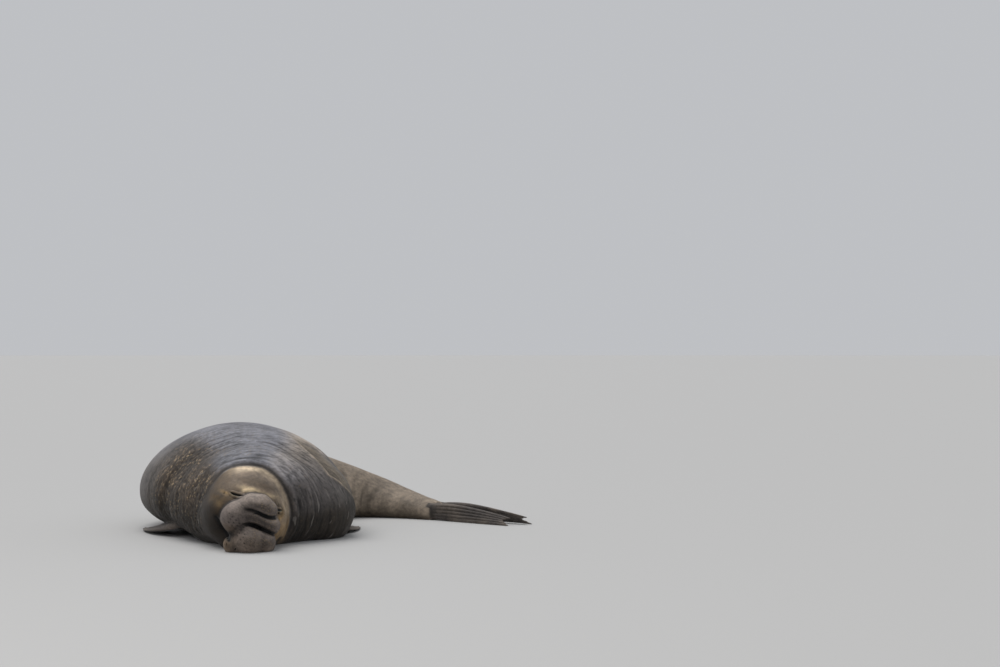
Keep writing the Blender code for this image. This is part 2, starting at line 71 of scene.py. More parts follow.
# Ellipsoids: centre and half sizes along left, forward and up, then the blend into those before
skullForms = {
    "cranium": ((-0.035, -0.210, -0.045), (0.215, 0.250, 0.200), 0.0),
    "brow": ((-0.005, -0.090, -0.045), (0.185, 0.125, 0.125), 0.06),
    "cheekLeft": ((0.110, -0.110, -0.120), (0.110, 0.160, 0.130), 0.05),
    "cheekRight": ((-0.150, -0.130, -0.130), (0.135, 0.190, 0.150), 0.06),
}
# The trunk: two cores, and three rolls that merge with them. A roll is a chain of centres and
# radii from the animal's right to its left
trunkCores = {
    "dome": ((-0.085, 0.095, -0.130), (0.100, 0.130, 0.100), 0.0),
    "filling": ((0.010, -0.010, -0.120), (0.135, 0.095, 0.140), 0.05),
}
trunkRolls = {
    "upper": (
        ((-0.085, 0.085, -0.085), 0.060), ((-0.030, 0.085, -0.028), 0.067),
        ((0.025, 0.090, -0.008), 0.063), ((0.078, 0.090, -0.018), 0.056),
    ),
    "middle": (((-0.060, 0.105, -0.090), 0.050), ((0.025, 0.108, -0.084), 0.047), ((0.126, 0.095, -0.100), 0.055)),
    "lower": (((-0.060, 0.150, -0.278), 0.055), ((0.025, 0.140, -0.224), 0.087), ((0.112, 0.115, -0.207), 0.077)),
}
rollShape = {"deep": 1.7, "toCore": 0.040, "crease": 0.003, "links": 0.030}
jawForms = {
    "chin": ((0.0, -0.070, -0.270), (0.130, 0.130, 0.070), 0.0),
    "jowl": ((-0.02, -0.140, -0.230), (0.210, 0.180, 0.110), 0.06),
}
neckForms = {
    "hood": ((-0.040, 0.800, 0.240), (0.400, 0.210, 0.315), 0.0),
    "shoulderLeft": ((0.290, 1.080, 0.170), (0.260, 0.300, 0.260), 0.10),
}
blends = {"neck": 0.14, "fold": 0.03, "face": 0.16, "jaw": 0.03, "trunk": 0.02}
reachOfForms = {"rowsEnd": 1.60, "front": 0.85, "snoutHeight": 0.165}


# Noise and smooth steps
def smoothStep(low, high, value):
    # 0 below low and 1 above high, with a cubic between
    t = np.clip((value - low) / (high - low), 0, 1)
    return t * t * (3 - 2 * t)


def hill(value, centre, width):
    # a bell of height 1 round the centre
    return np.exp(-(((value - centre) / width) ** 2))


def plateau(value, start, full, last, gone):
    # rises to 1 from start to full, and falls back from last to gone
    return smoothStep(start, full, value) * (1 - smoothStep(last, gone, value))


def lengthOf(vectors):
    return np.linalg.norm(vectors, axis=-1)


def anglesRound(count):
    # this many equal turns round a circle
    return 2 * math.pi * np.arange(count) / count


def cellValue(cell, seed):
    # a repeatable number from 0 to 1 for each whole-number cell of space
    mixed = cell[..., 0] * 73856093 ^ cell[..., 1] * 19349663 ^ cell[..., 2] * 83492791
    mixed = (mixed ^ seed * 2654435761) & 0xFFFFFFFF
    mixed = ((mixed ^ (mixed >> 15)) * 2246822519) & 0xFFFFFFFF
    mixed = ((mixed ^ (mixed >> 13)) * 3266489917) & 0xFFFFFFFF
    return ((mixed ^ (mixed >> 16)) & 0xFFFFFF) / 0xFFFFFF


def softNoise(points, size, seed):
    # values from -1 to 1 at the corners of cubes of this size, eased between the corners
    scaled = points / size
    cell = np.floor(scaled).astype(np.int64)
    part = scaled - cell
    part = part * part * (3 - 2 * part)
    total = 0
    for corner in np.ndindex(2, 2, 2):
        share = np.prod(np.where(corner, part, 1 - part), axis=-1)
        total = total + share * cellValue(cell + corner, seed)
    return 2 * total - 1


def cobbles(points, size, seed):
    # 0 on the borders of the cells round scattered centres, rising to 1 inside them
    scaled = points / size
    cell = np.floor(scaled).astype(np.int64)
    nearest = np.full(points.shape[:-1], 9.0)
    second = nearest.copy()
    for step in np.ndindex(3, 3, 3):
        there = cell + np.array(step) - 1
        spot = there + np.stack([cellValue(there, seed + k) for k in range(3)], axis=-1)
        away = lengthOf(scaled - spot)
        second = np.where(away < nearest, nearest, np.minimum(second, away))
        nearest = np.minimum(nearest, away)
    return 1 - np.exp(-(((second - nearest) / 0.22) ** 2))


# The body as a distance: where it is nought lies the hide
def unit(vector):
    vector = np.asarray(vector, float)
    return vector / np.maximum(np.linalg.norm(vector, axis=-1, keepdims=True), 1e-9)


def smoothThrough(knots, values, at):
    # a cubic through the values, with slopes from each knot's two neighbours
    knots, values = np.asarray(knots, float), np.asarray(values, float)
    slopes = np.gradient(values, knots)
    at = np.clip(at, knots[0], knots[-1])
    cell = np.clip(np.searchsorted(knots, at, side="right") - 1, 0, len(knots) - 2)
    width = knots[cell + 1] - knots[cell]
    t = (at - knots[cell]) / width
    start = (1 + 2 * t) * (1 - t) ** 2 * values[cell] + t * (1 - t) ** 2 * width * slopes[cell]
    end = t * t * (3 - 2 * t) * values[cell + 1] + t * t * (t - 1) * width * slopes[cell + 1]
    return start + end


def smoothUnion(a, b, blend):
    # the nearer of two surfaces, rounded over within the blend radius
    blend = np.maximum(blend, 1e-6)
    near = np.maximum(blend - np.abs(a - b), 0) / blend
    return np.minimum(a, b) - near * near * blend / 4


def ellipsoidDistance(points, centre, halfSizes):
    # share of the way out, less one, over how fast that share grows
    offset = (points - np.array(centre)) / np.array(halfSizes)
    reach = lengthOf(offset)
    slope = lengthOf(offset / np.array(halfSizes))
    return reach * (reach - 1) / np.maximum(slope, 1e-9)


def formsDistance(points, forms):
    # the ellipsoids blended one after another
    total = None
    for centre, halfSizes, blend in forms.values():
        here = ellipsoidDistance(points, centre, halfSizes)
        total = here if total is None else smoothUnion(total, here, blend)
    return total


def chainDistance(points, chain):
    # round links from centre to centre, drawn out forward
    deep = np.array([1, 1 / rollShape["deep"], 1])
    total = None
    for (start, thick), (end, thickEnd) in zip(chain[:-1], chain[1:]):
        away, way = (points - np.array(start)) * deep, (np.array(end) - np.array(start)) * deep
        t = np.clip(away @ way / (way @ way), 0, 1)
        radius = thick + t * t * (3 - 2 * t) * (thickEnd - thick)
        here = lengthOf(away - t[..., None] * way) - radius
        total = here if total is None else smoothUnion(total, here, rollShape["links"])
    return total


def trunkDistance(points):
    # each roll grows out of the cores softly, and meets the next one in a sharp crease
    cores = formsDistance(points, trunkCores)
    total = cores
    for chain in trunkRolls.values():
        roll = smoothUnion(cores, chainDistance(points, chain), rollShape["toCore"])
        total = smoothUnion(total, roll, rollShape["crease"])
    return total


def skullDistance(points):
    return formsDistance(points, skullForms)


def headDistance(local):
    # skull, jaw and trunk, without the neck behind them
    skull = smoothUnion(skullDistance(local), formsDistance(local, jawForms), blends["jaw"])
    return smoothUnion(skull, trunkDistance(local), blends["trunk"])


def makeHeadAxes():
    # rows: the head's left, forward and up, from its yaw and its roll
    yaw, roll = math.radians(head["yaw"]), math.radians(head["roll"])
    forward = np.array([math.sin(yaw), -math.cos(yaw), 0])
    level = np.array([math.cos(yaw), math.sin(yaw), 0])
    upright = np.array([0, 0, 1.0])
    left = math.cos(roll) * level - math.sin(roll) * upright
    return np.array([left, forward, math.sin(roll) * level + math.cos(roll) * upright])


headAxes = makeHeadAxes()
headOrigin = np.array(head["origin"])


def makeSpine():
    # the stations carried along a smooth line, with the backward heading at each of 400 samples
    table = np.array(list(stations.values()))
    knots = np.concatenate([[0], np.cumsum(np.linalg.norm(np.diff(table[:, :2], axis=0), axis=1))])
    along = np.linspace(0, knots[-1], 400)
    columns = [smoothThrough(knots, column, along) for column in table.T]
    heading = unit(np.stack([np.gradient(columns[0]), np.gradient(columns[1])], axis=-1))
    return along, columns + [heading[:, 0], heading[:, 1]]


spineAlong, spineColumns = makeSpine()
spineLength = spineAlong[-1]


def spineAt(along):
    # plan x and y, half width, height, and the backward heading's x and y
    return [np.interp(along, spineAlong, column) for column in spineColumns]


def nearestAlong(points, along, steps=3):
    # slides each guess along the spine until it is square to its point
    for _ in range(steps):
        x, y, _, _, hx, hy = spineAt(along)
        step = (points[..., 0] - x) * hx + (points[..., 1] - y) * hy
        along = np.clip(along + 0.8 * step, 0, spineLength)
    return along


def torsoDistance(points, along):
    # superellipse sections: rounder above the widest line, fuller below it
    along = nearestAlong(points, along)
    x, y, halfWidth, height, hx, hy = spineAt(along)
    across, back = points[..., 0] - x, points[..., 1] - y
    sideways = across * hy - back * hx
    before = -(across * hx + back * hy)
    upward = points[..., 2] - section["widestShare"] * height
    above = (1 - section["widestShare"]) * height
    below = section["widestShare"] * height + section["bellySink"]
    a, p, q = np.abs(sideways) / halfWidth, section["upperPower"], section["lowerPower"]
    up = (a**p + (np.maximum(upward, 0) / above) ** p) ** (1 / p)
    down = (a**q + (np.maximum(-upward, 0) / below) ** q) ** (1 / q)
    outside = (np.where(upward >= 0, up, down) - 1) * np.minimum(halfWidth, above)
    return np.where(along <= 0, np.maximum(outside, before), outside)


def inHead(points):
    return (points - headOrigin) @ headAxes.T


def bodyDistance(points, along, hasForms):
    # the torso blended with hood, skull, jaw and trunk, cut off flat by the ground
    torso = torsoDistance(points, along)
    local = inHead(points)
    neck = smoothUnion(torso, formsDistance(points, neckForms), blends["neck"])
    rightSide = np.clip((-local[..., 0] - 0.02) / 0.2, 0, 1)
    faceBlend = blends["fold"] + (blends["face"] - blends["fold"]) * rightSide
    whole = smoothUnion(neck, formsDistance(local, skullForms), faceBlend)
    whole = smoothUnion(whole, formsDistance(local, jawForms), blends["jaw"])
    whole = smoothUnion(whole, trunkDistance(local), blends["trunk"])
    return np.maximum(np.where(hasForms, whole, torso), -points[..., 2])


# The skin's grid: rings of rays from the spine, from the snout's tip to the ankles
skinGrid = {
    "frontRows": 184, "backRows": 128, "columns": 256, "crowding": 0.42, "poleDrop": 0.30,
    "steps": 60, "stepShare": 0.8, "nearest": 0.01, "flatBelow": 0.0005,
}
# Faces within these distances of a feature are quartered
refineWithin = {"eye": 0.052, "nostril": 0.028, "shoulder": 0.035}


def gridRays():
    # rays lean from straight ahead at the snout to square across behind the shoulders,
    # and crowd together over the back, where the hide shows
    lean = np.linspace(math.radians(89.3), 0, skinGrid["frontRows"])
    eased = np.clip(1 - lean / math.radians(60), 0, 1)
    frontStart = reachOfForms["front"] * eased**1.5
    backStart = np.linspace(reachOfForms["front"], spineLength, skinGrid["backRows"] + 1)[1:]
    along = np.concatenate([frontStart, backStart])[:, None]
    lean = np.concatenate([lean, 0 * backStart])[:, None]
    turn = anglesRound(skinGrid["columns"])
    turn = turn + skinGrid["crowding"] * np.cos(turn)
    along, lean = along + 0 * turn, lean + 0 * turn
    x, y, halfWidth, height, hx, hy = spineAt(along)
    eased = np.clip(along / reachOfForms["front"], 0, 1)
    low = reachOfForms["snoutHeight"]
    rise = low + (section["widestShare"] * height - low) * eased
    centre = np.stack([x, y, rise], axis=-1)
    back = np.stack([hx, hy, 0 * hx + skinGrid["poleDrop"]], axis=-1)
    left = np.stack([hy, -hx, 0 * hx], axis=-1)
    ring = np.cos(turn)[:, None] * left + np.sin(turn)[:, None] * np.array([0, 0, 1.0])
    direction = unit(np.cos(lean)[..., None] * ring - np.sin(lean)[..., None] * back)
    return along, halfWidth, centre, direction


def castSkin():
    # each ray is followed inward by most of its distance to the hide, time after time
    along, halfWidth, centre, direction = gridRays()
    hasForms = along < reachOfForms["rowsEnd"]
    reach = np.where(hasForms, 1.0, 1.2 * halfWidth + 0.05)
    for _ in range(skinGrid["steps"]):
        points = centre + reach[..., None] * direction
        distance = bodyDistance(points, along, hasForms)
        reach = np.maximum(reach - skinGrid["stepShare"] * distance, skinGrid["nearest"])
    points = centre + reach[..., None] * direction
    points[..., 2] = np.where(points[..., 2] < skinGrid["flatBelow"], 0, points[..., 2])
    return points


# How the unwrap is shared: the skin's sheet below, the flippers' and the tail's strips above it
bakeSheet = {"skinShare": 0.86, "stripsFrom": 0.89, "stripTall": 0.09, "strips": 5}


def gridFaces(index, following):
    # faces between rows of point numbers, from each column to the one that follows it
    corners = [index[:-1], following[:-1], following[1:], index[1:]]
    return np.stack(corners, axis=-1).reshape(-1, 4).tolist()


def ringFaces(rings, sides):
    # faces of an open tube of rings, with its point numbers and those that follow them
    index = np.arange(rings * sides).reshape(rings, sides)
    following = np.roll(index, -1, axis=1)
    return gridFaces(index, following), index, following


def fanFaces(one, other, point):
    # three-cornered faces from a ring to one point
    return np.stack([one, other, 0 * one + point], axis=-1).tolist()


def readAll(items, key, width=1, kind=float):
    # one property of every item, with a row of this width for each
    flat = np.empty(width * len(items), kind)
    items.foreach_get(key, flat)
    return flat.reshape(-1, width) if width > 1 else flat


def writeAll(items, key, values, kind=np.float32):
    items.foreach_set(key, np.asarray(values, kind).ravel())


def readPoints(mesh):
    return readAll(mesh.vertices, "co", 3)


def readNormals(mesh):
    return readAll(mesh.vertex_normals, "vector", 3)


def readEdges(mesh):
    return readAll(mesh.edges, "vertices", 2, np.int32)


def readCorners(mesh):
    return readAll(mesh.loops, "vertex_index", kind=np.int32)


def writePoints(mesh, points):
    writeAll(mesh.vertices, "co", points)
    mesh.update()


def putSheet(mesh, placed):
    # the map OFBake, with a place on the sheet for every corner
    writeAll(mesh.uv_layers.new(name="OFBake").uv, "vector", placed)


def putLie(mesh, lie):
    writeAll(mesh.attributes.new("lie", "FLOAT_VECTOR", "POINT").data, "vector", lie)


def putColours(mesh, name, colours):
    filled = np.ones((len(colours), 4), np.float32)
    filled[:, :3] = colours
    writeAll(mesh.color_attributes.new(name, "FLOAT_COLOR", "POINT").data, "color", filled)


def skinMesh(points):
    # a closed tube of rings, with a fan of faces at its two ends. One map, OFBake, lays the
    # rings out as a sheet: across it round the ring, up it from snout to ankles
    rows, columns = points.shape[:2]
    count = rows * columns
    faces, index, following = ringFaces(rows, columns)
    faces = [face[::-1] for face in faces]
    faces += fanFaces(index[0], following[0], count) + fanFaces(following[-1], index[-1], count + 1)
    ends = [points[0].mean(axis=0), points[-1].mean(axis=0)]
    mesh = bpy.data.meshes.new("skin")
    mesh.from_pydata(np.concatenate([points.reshape(-1, 3), ends]) - planCentre, [], faces)
    row, column = np.mgrid[0 : rows - 1, 0:columns]
    u = np.stack([(column + k) / columns for k in (0, 1, 1, 0)], axis=-1)
    v = np.stack([(row + k) / rows for k in (1, 1, 0, 0)], axis=-1)
    sheet = np.stack([u, v], axis=-1).reshape(-1, 2)
    ring = np.arange(columns)
    start = np.stack([ring, ring + 1, ring + 0.5], axis=-1) / columns
    snout = np.stack([start, start * 0 + [0, 0, -0.004]], axis=-1).reshape(-1, 2)
    ankle = np.stack([start[:, [1, 0, 2]], start * 0 + [1, 1, 1.004]], axis=-1)
    ankle[..., 1] -= 1 / rows
    unwrap = np.concatenate([sheet, snout, ankle.reshape(-1, 2)])
    putSheet(mesh, unwrap * [0.98, bakeSheet["skinShare"]] + [0.01, 0.01])
    return mesh


def bareMesh(name, points, faces):
    # faces that all point outwards
    mesh = bpy.data.meshes.new(name)
    mesh.from_pydata(points, [], faces)
    work = bmesh.new()
    work.from_mesh(mesh)
    bmesh.ops.recalc_face_normals(work, faces=work.faces)
    work.to_mesh(mesh)
    work.free()
    return mesh


def newObject(name, mesh):
    piece = bpy.data.objects.new(name, mesh)
    bpy.context.scene.collection.objects.link(piece)
    return piece


def relax(points, edges, weight, rounds):
    # each point moves by its weight towards the mean of its neighbours, round after round
    degree = np.maximum(np.bincount(edges.ravel(), minlength=len(points)), 1)[:, None]
    for _ in range(rounds):
        total = np.zeros_like(points)
        for axis in range(3):
            near = np.bincount(edges[:, 0], points[edges[:, 1], axis], len(points))
            far = np.bincount(edges[:, 1], points[edges[:, 0], axis], len(points))
            total[:, axis] = near + far
        points = points + weight[:, None] * (total / degree - points)
    return points


# Where a feature sits on the face, and the axes of the hide there
def frontOf(left, up, distance):
    # how far forward the hide lies there, found by moving back towards it from the front
    forward = 0.5
    for _ in range(90):
        forward -= 0.8 * float(distance(np.array([left, forward, up])))
    return forward


def facing(left, up, distance):
    # a spot on the head, with rows: level along the hide, straight out of it, up along it
    spot = np.array([left, frontOf(left, up, distance), up])
    outward = unit([float(distance(spot + step) - distance(spot - step)) for step in 0.003 * np.eye(3)])
    level = unit(np.cross(outward, [0, 0, 1.0]))
    return spot, np.array([level, outward, np.cross(level, outward)])


eyes = {
    "right": {"at": (-0.138, 0.002), "halfSlit": 0.036, "halfOpen": 0.0052, "tilt": 4, "fold": 1.0},
    "left": {"at": (0.138, 0.000), "halfSlit": 0.033, "halfOpen": 0.0046, "tilt": 2, "fold": 0.60},
}
lids = {
    "socketDeep": 0.008, "socketWide": 0.062, "socketTall": 0.040, "slitDeep": 0.014, "droop": 0.005,
    "swell": 0.0048, "swellAt": 0.009, "swellWide": 0.0085,
    "creaseAt": (0.022, 0.034), "creaseDeep": (0.0017, 0.0010), "creaseWide": 0.0035,
    "cornerDeep": 0.003, "fanDeep": 0.0022, "fanApart": 0.38, "fanAt": 0.030, "fanWide": 0.019,
}
for eye in eyes.values():
    eye["spot"], eye["axes"] = facing(*eye["at"], skullDistance)
nostrils = {"at": ((-0.094, -0.284), (-0.034, -0.292)), "half": (0.0034, 0.0120), "deep": 0.007, "rim": 0.0010}
nostrils["frames"] = [facing(*at, trunkDistance) for at in nostrils["at"]]
ears = {"right": (-0.205, -0.020), "left": (0.150, -0.020)}
earFrames = [facing(*at, skullDistance) for at in ears.values()]


def inFrame(local, place):
    # level, outward and up distances from a feature's spot
    spot, turned = place
    return ((local - spot) @ turned.T).T


def nearPlaces(points, places, radius):
    # whether points lie within the radius of any of the places
    local = inHead(points)
    return np.any([lengthOf(local - spot) < radius for spot, _ in places], axis=0)


def fromSpot(local, name):
    return lengthOf(local - np.array(headSpots[name]))


def refine(mesh, chosen):
    # quarters the faces whose centres are chosen, so that a feature's edges come out crisp
    work = bmesh.new()
    work.from_mesh(mesh)
    wanted = chosen(np.array([face.calc_center_median() for face in work.faces]) + planCentre)
    edges = {edge for face, take in zip(work.faces, wanted) if take for edge in face.edges}
    bmesh.ops.subdivide_edges(work, edges=list(edges), cuts=1, use_grid_fill=True)
    work.to_mesh(mesh)
    work.free()


# The face ends in a fold that runs round it: its distance from a centre in the head, by the turn
# about the forward axis, from the animal's right cheek over the crown to its left cheek
faceFold = {
    "centre": (0.0, -0.12, -0.10),
    "turns": (-3.2, -2.0, -1.5, -1.18, -0.91, -0.6, -0.13, 0.23, 0.62, 0.97, 1.39, 2.2, 3.2),
    "reach": (0.26, 0.285, 0.285, 0.305, 0.325, 0.318, 0.312, 0.283, 0.253, 0.238, 0.236, 0.250, 0.26),
    "fadesAt": (-1.75, -0.85, 1.5, 2.3),
}

# The hide's own relief, as heights above the plain form
folds = {
    "firstDeep": 0.008, "firstWide": 0.016, "firstAt": 0.025, "swell": 0.008,
    "spacing": 0.060, "deep": 0.0050, "fade": 0.55,
    "fineSpacing": 0.021, "fineDeep": 0.0016,
    "cobbleSize": 0.030, "cobbleDeep": 0.0085,
    "waistSpacing": 0.120, "waistDeep": 0.0045,
    "dimpleSize": 0.11, "dimpleDeep": 0.0022,
    "blubberSize": 0.36, "blubberDeep": 0.006,
}
# The crease behind the left shoulder, from the back down: a lip with the hide behind it lower
shoulderLine = {
    "points": (
        (0.070, 1.400, 0.680), (0.109, 1.329, 0.640), (0.191, 1.183, 0.588), (0.301, 1.066, 0.504),
        (0.407, 0.971, 0.401), (0.499, 1.009, 0.322), (0.539, 1.067, 0.266), (0.560, 1.130, 0.120),
    ),
    "deep": 0.014, "lip": 0.005, "gone": 0.17,
}


def pastShoulder(points, normals):
    # how far behind the crease's line points lie along the hide, negative in front of it, and how
    # strong the crease is there
    line = np.array(shoulderLine["points"])
    best, signed, share = np.full(len(points), 9.0), np.full(len(points), 9.0), np.zeros(len(points))
    for number, (start, end) in enumerate(zip(line[:-1], line[1:])):
        way = end - start
        t = np.clip((points - start) @ way / (way @ way), 0, 1)
        offset = points - start - t[:, None] * way
        away = lengthOf(offset)
        flat = offset - (offset * normals).sum(axis=-1)[:, None] * normals
        side = np.sign((np.cross(normals, way) * flat).sum(axis=-1))
        nearer = away < best
        signed = np.where(nearer, side * lengthOf(flat), signed)
        share = np.where(nearer, (number + t) / (len(line) - 1), share)
        best = np.where(nearer, away, best)
    strength = plateau(share, 0.02, 0.35, 0.97, 1.0) * (best < 0.25)
    return signed, strength


def besideShoulder(points):
    # whether points lie beside the crease's line, tested at close steps along it
    line = np.array(shoulderLine["points"])
    steps = np.concatenate([np.linspace(start, end, 12) for start, end in zip(line[:-1], line[1:])])
    near = np.zeros(len(points), bool)
    for step in steps:
        near |= lengthOf(points - step) < refineWithin["shoulder"]
    return near


def grooves(place, width):
    # narrow valleys at whole numbers, with rounded ridges between them
    return np.exp(-(((place - np.round(place)) / width) ** 2))


def bodyPlace(points):
    # along the spine, share of the half width to the left, and share of the height
    table = np.stack(spineColumns[:2], axis=-1)[::8]
    nearest = np.argmin(((points[:, None, :2] - table) ** 2).sum(axis=-1), axis=1)
    along = nearestAlong(points, spineAlong[::8][nearest])
    x, y, halfWidth, height, hx, hy = spineAt(along)
    sideways = (points[:, 0] - x) * hy - (points[:, 1] - y) * hx
    return along, sideways / halfWidth, points[:, 2] / height


def aroundFace(local):
    # distance behind the edge of the face, the turn round it, and how far it is from its centre
    fromCentre = local - np.array(faceFold["centre"])
    ring = lengthOf(fromCentre)
    turn = np.arctan2(fromCentre[:, 0], fromCentre[:, 2])
    beyond = ring - np.interp(turn, faceFold["turns"], faceFold["reach"])
    # the trunk reaches out of the face's round, but belongs to it
    ahead = np.maximum(smoothStep(0.01, 0.06, local[:, 1]), trunkShare(local))
    return beyond * (1 - ahead) - 0.05 * ahead, turn, ring


def foldStrength(turn):
    # the fold shows over the crown and the left cheek, and fades out on the right one
    start, full, last, gone = faceFold["fadesAt"]
    return smoothStep(start, full, turn) * smoothStep(gone, last, turn)


def hideRelief(points, local, normals):
    # the fold round the face with slack creases behind it, cobbles on the chest shield, the
    # crease behind the shoulder, creases where the waist bends, and the slack of the blubber
    beyond, turn, ring = aroundFace(local)
    along, side, height = bodyPlace(points)
    behindTrunk = smoothStep(0.03, -0.03, local[:, 1]) * smoothStep(0.0, 0.03, trunkDistance(local))
    strong = foldStrength(turn) * behindTrunk
    wobbly = beyond + 0.006 * softNoise(points, 0.16, 40)
    relief = -folds["firstDeep"] * hill(wobbly, folds["firstAt"], folds["firstWide"]) * strong
    relief += folds["swell"] * hill(wobbly, 0.055, 0.022) * strong
    lines = np.stack([0.30 * turn, 0 * turn, ring], axis=-1)
    bent = beyond + 0.040 * softNoise(points, 0.33, 1) + 0.014 * softNoise(points, 0.11, 2)
    broken = smoothStep(-0.35, 0.65, softNoise(lines, 0.11, 3))
    coarse = grooves(bent / folds["spacing"] + 0.4, 0.15) * broken
    worn = smoothStep(-0.2, 0.6, softNoise(lines, 0.045, 4))
    fine = grooves((bent + 0.005 * softNoise(points, 0.03, 5)) / folds["fineSpacing"], 0.24) * worn
    neck = plateau(beyond, 0.045, 0.080, 0.25, folds["fade"] + 0.2)
    relief -= folds["deep"] * coarse * neck
    relief -= folds["fineDeep"] * fine * neck
    shield = shieldShare(beyond, turn, height)
    stretched = np.stack([0.30 * turn * (0.6 + ring), 0.7 * bent, 0.4 * points[:, 2]], axis=-1)
    stones = 0.65 * cobbles(stretched, folds["cobbleSize"], 11)
    stones = stones + 0.35 * cobbles(points, folds["cobbleSize"] / 2, 12)
    relief += folds["cobbleDeep"] * (stones - 0.6) * shield
    inner = smoothStep(0.20, 0.80, side) * hill(along, 2.60, 0.40)
    waved = along + 0.06 * softNoise(points, 0.30, 6)
    inner = inner * smoothStep(-0.7, 0.4, softNoise(points, 0.24, 9))
    relief -= folds["waistDeep"] * grooves(waved / folds["waistSpacing"], 0.24) * inner
    slack = softNoise(points, folds["blubberSize"], 7) + 0.5 * softNoise(points, folds["blubberSize"] / 2, 8)
    relief += folds["blubberDeep"] * slack * smoothStep(0.05, 0.3, beyond) * (1 - smoothStep(3.2, 3.7, along))
    relief += folds["dimpleDeep"] * softNoise(points, folds["dimpleSize"], 10) * smoothStep(0.05, 0.3, beyond)
    signed, strength = pastShoulder(points, normals)
    lower = plateau(signed, -0.006, 0.014, 0.03, shoulderLine["gone"])
    relief += strength * (shoulderLine["lip"] * hill(signed, -0.014, 0.016) - shoulderLine["deep"] * lower)
    return relief


def shieldShare(beyond, turn, height):
    # the rough chest shield: on the right of the neck and chest, and faintly over its top
    span = plateau(beyond, 0.0, 0.07, 0.60, 0.95)
    return span * smoothStep(-0.30, -1.0, turn) * (1 - smoothStep(0.80, 1.05, height))


def slitPlace(local, eye):
    # where points lie by the slit between the lids: level place, outward and up, share of its
    # half length, and distance outside it
    s, out, t = inFrame(local, (eye["spot"], eye["axes"]))
    tilt = math.radians(eye["tilt"])
    s, t = s * math.cos(tilt) + t * math.sin(tilt), t * math.cos(tilt) - s * math.sin(tilt)
    share = s / eye["halfSlit"]
    t = t + lids["droop"] * (1 - np.clip(share * share, 0, 1.6))
    hole = eye["halfOpen"] * np.sqrt(np.clip(1 - share * share, 0, 1))
    return s, out, t, share, np.abs(t) - hole


def eyeRelief(local):
    # a hollow, two swollen lids and the slit between them; away from the slit the lids' creases
    total = np.zeros(len(local))
    for eye in eyes.values():
        s, out, t, share, away = slitPlace(local, eye)
        ends = np.exp(-((share / 1.15) ** 6))
        hollow = -lids["socketDeep"] * hill(s, 0, lids["socketWide"]) * hill(t, 0, lids["socketTall"])
        swell = eye["fold"] * lids["swell"] * hill(away, lids["swellAt"], lids["swellWide"]) * ends
        crease, faded = 0, np.exp(-((share / 1.6) ** 4))
        for at, deep in zip(lids["creaseAt"], lids["creaseDeep"]):
            crease = crease - eye["fold"] * deep * hill(away, at, lids["creaseWide"]) * faded
        slit = -lids["slitDeep"] * smoothStep(0.0010, -0.0022, away) * (np.abs(share) < 1)
        corner = -lids["cornerDeep"] * hill(t, 0, 0.003) * hill(np.abs(share), 1.12, 0.22)
        # small creases fan out from the slit's outer corner
        level = np.sign(eye["at"][0]) * s - eye["halfSlit"]
        angle, reach = np.arctan2(t, level), np.hypot(level, t)
        fan = grooves(angle / lids["fanApart"] + 0.3, 0.22) * hill(reach, lids["fanAt"], lids["fanWide"])
        fan = -lids["fanDeep"] * (fan * (level > 0)) * eye["fold"] * smoothStep(1.3, 0.7, np.abs(angle))
        total += np.where(np.abs(out) < 0.07, hollow + swell + crease + slit + corner + fan, 0)
    return total


whiskerPad = {
    # rows of pits on the two sides of the trunk, in the head's left and up, and how deep and dark they are
    "right": {
        "from": (-0.142, -0.105), "rowStep": (0.008, -0.026), "pitStep": (0.027, -0.012), "deep": 1, "dark": 0.97,
    },
    "left": {
        "from": (0.150, -0.180), "rowStep": (-0.004, -0.024), "pitStep": (-0.026, -0.002), "deep": 0.4, "dark": 0.30,
    },
    "rows": 4, "pits": 5, "pitWide": 0.0042, "pitDeep": 0.0026, "darkWide": 0.0058,
}


def padSpots():
    # every second row is shifted, and spots that miss the trunk are left out
    spots = []
    for side in ("right", "left"):
        pad = whiskerPad[side]
        for row in range(whiskerPad["rows"]):
            for pit in range(whiskerPad["pits"]):
                shift = 0.4 * (row % 2)
                at = np.array(pad["from"]) + row * np.array(pad["rowStep"])
                at = at + (pit + shift) * np.array(pad["pitStep"])
                place = facing(*at, trunkDistance)
                if abs(float(trunkDistance(place[0]))) < 0.002:
                    spots.append((side, place))
    return spots


padPlaces = padSpots()


def inPits(local, tall, wide):
    # each whisker pit in turn: its pad, and how far the points lie in it
    for side, place in padPlaces:
        s, out, t = inFrame(local, place)
        yield whiskerPad[side], hill(np.hypot(s, tall * t), 0, wide) * (np.abs(out) < 0.03)


def inNostrils(local):
    # each nostril in turn: distance from its middle in shares of its half sizes, and what lies near
    for place in nostrils["frames"]:
        s, out, t = inFrame(local, place)
        yield np.hypot(s / nostrils["half"][0], t / nostrils["half"][1]), np.abs(out) < 0.05


mouthLine = {
    # from the cheek inward, in the head's left and up
    "right": ((-0.205, -0.170), (-0.150, -0.212), (-0.090, -0.250)),
    "left": ((0.215, -0.175), (0.195, -0.230), (0.165, -0.270)),
    "deep": 0.014, "wide": 0.0085,
}

# The two creases between the trunk's rolls, from their shallow ends, in the head's left and up
trunkCreases = {
    "lines": (
        (
            (-0.066, -0.052), (-0.020, -0.046), (0.020, -0.047), (0.055, -0.053), (0.090, -0.055),
            (0.125, -0.048),
        ),
        ((-0.048, -0.143), (-0.005, -0.129), (0.030, -0.128), (0.090, -0.135), (0.150, -0.140)),
    ),
    "deep": 0.012, "wide": 0.0062, "swell": 0.0030, "fades": 0.055,
    "filled": ((-0.060, -0.030, 0.0, 0.040), (-0.080, -0.074, -0.066, -0.064)), "fill": 0.0065,
}
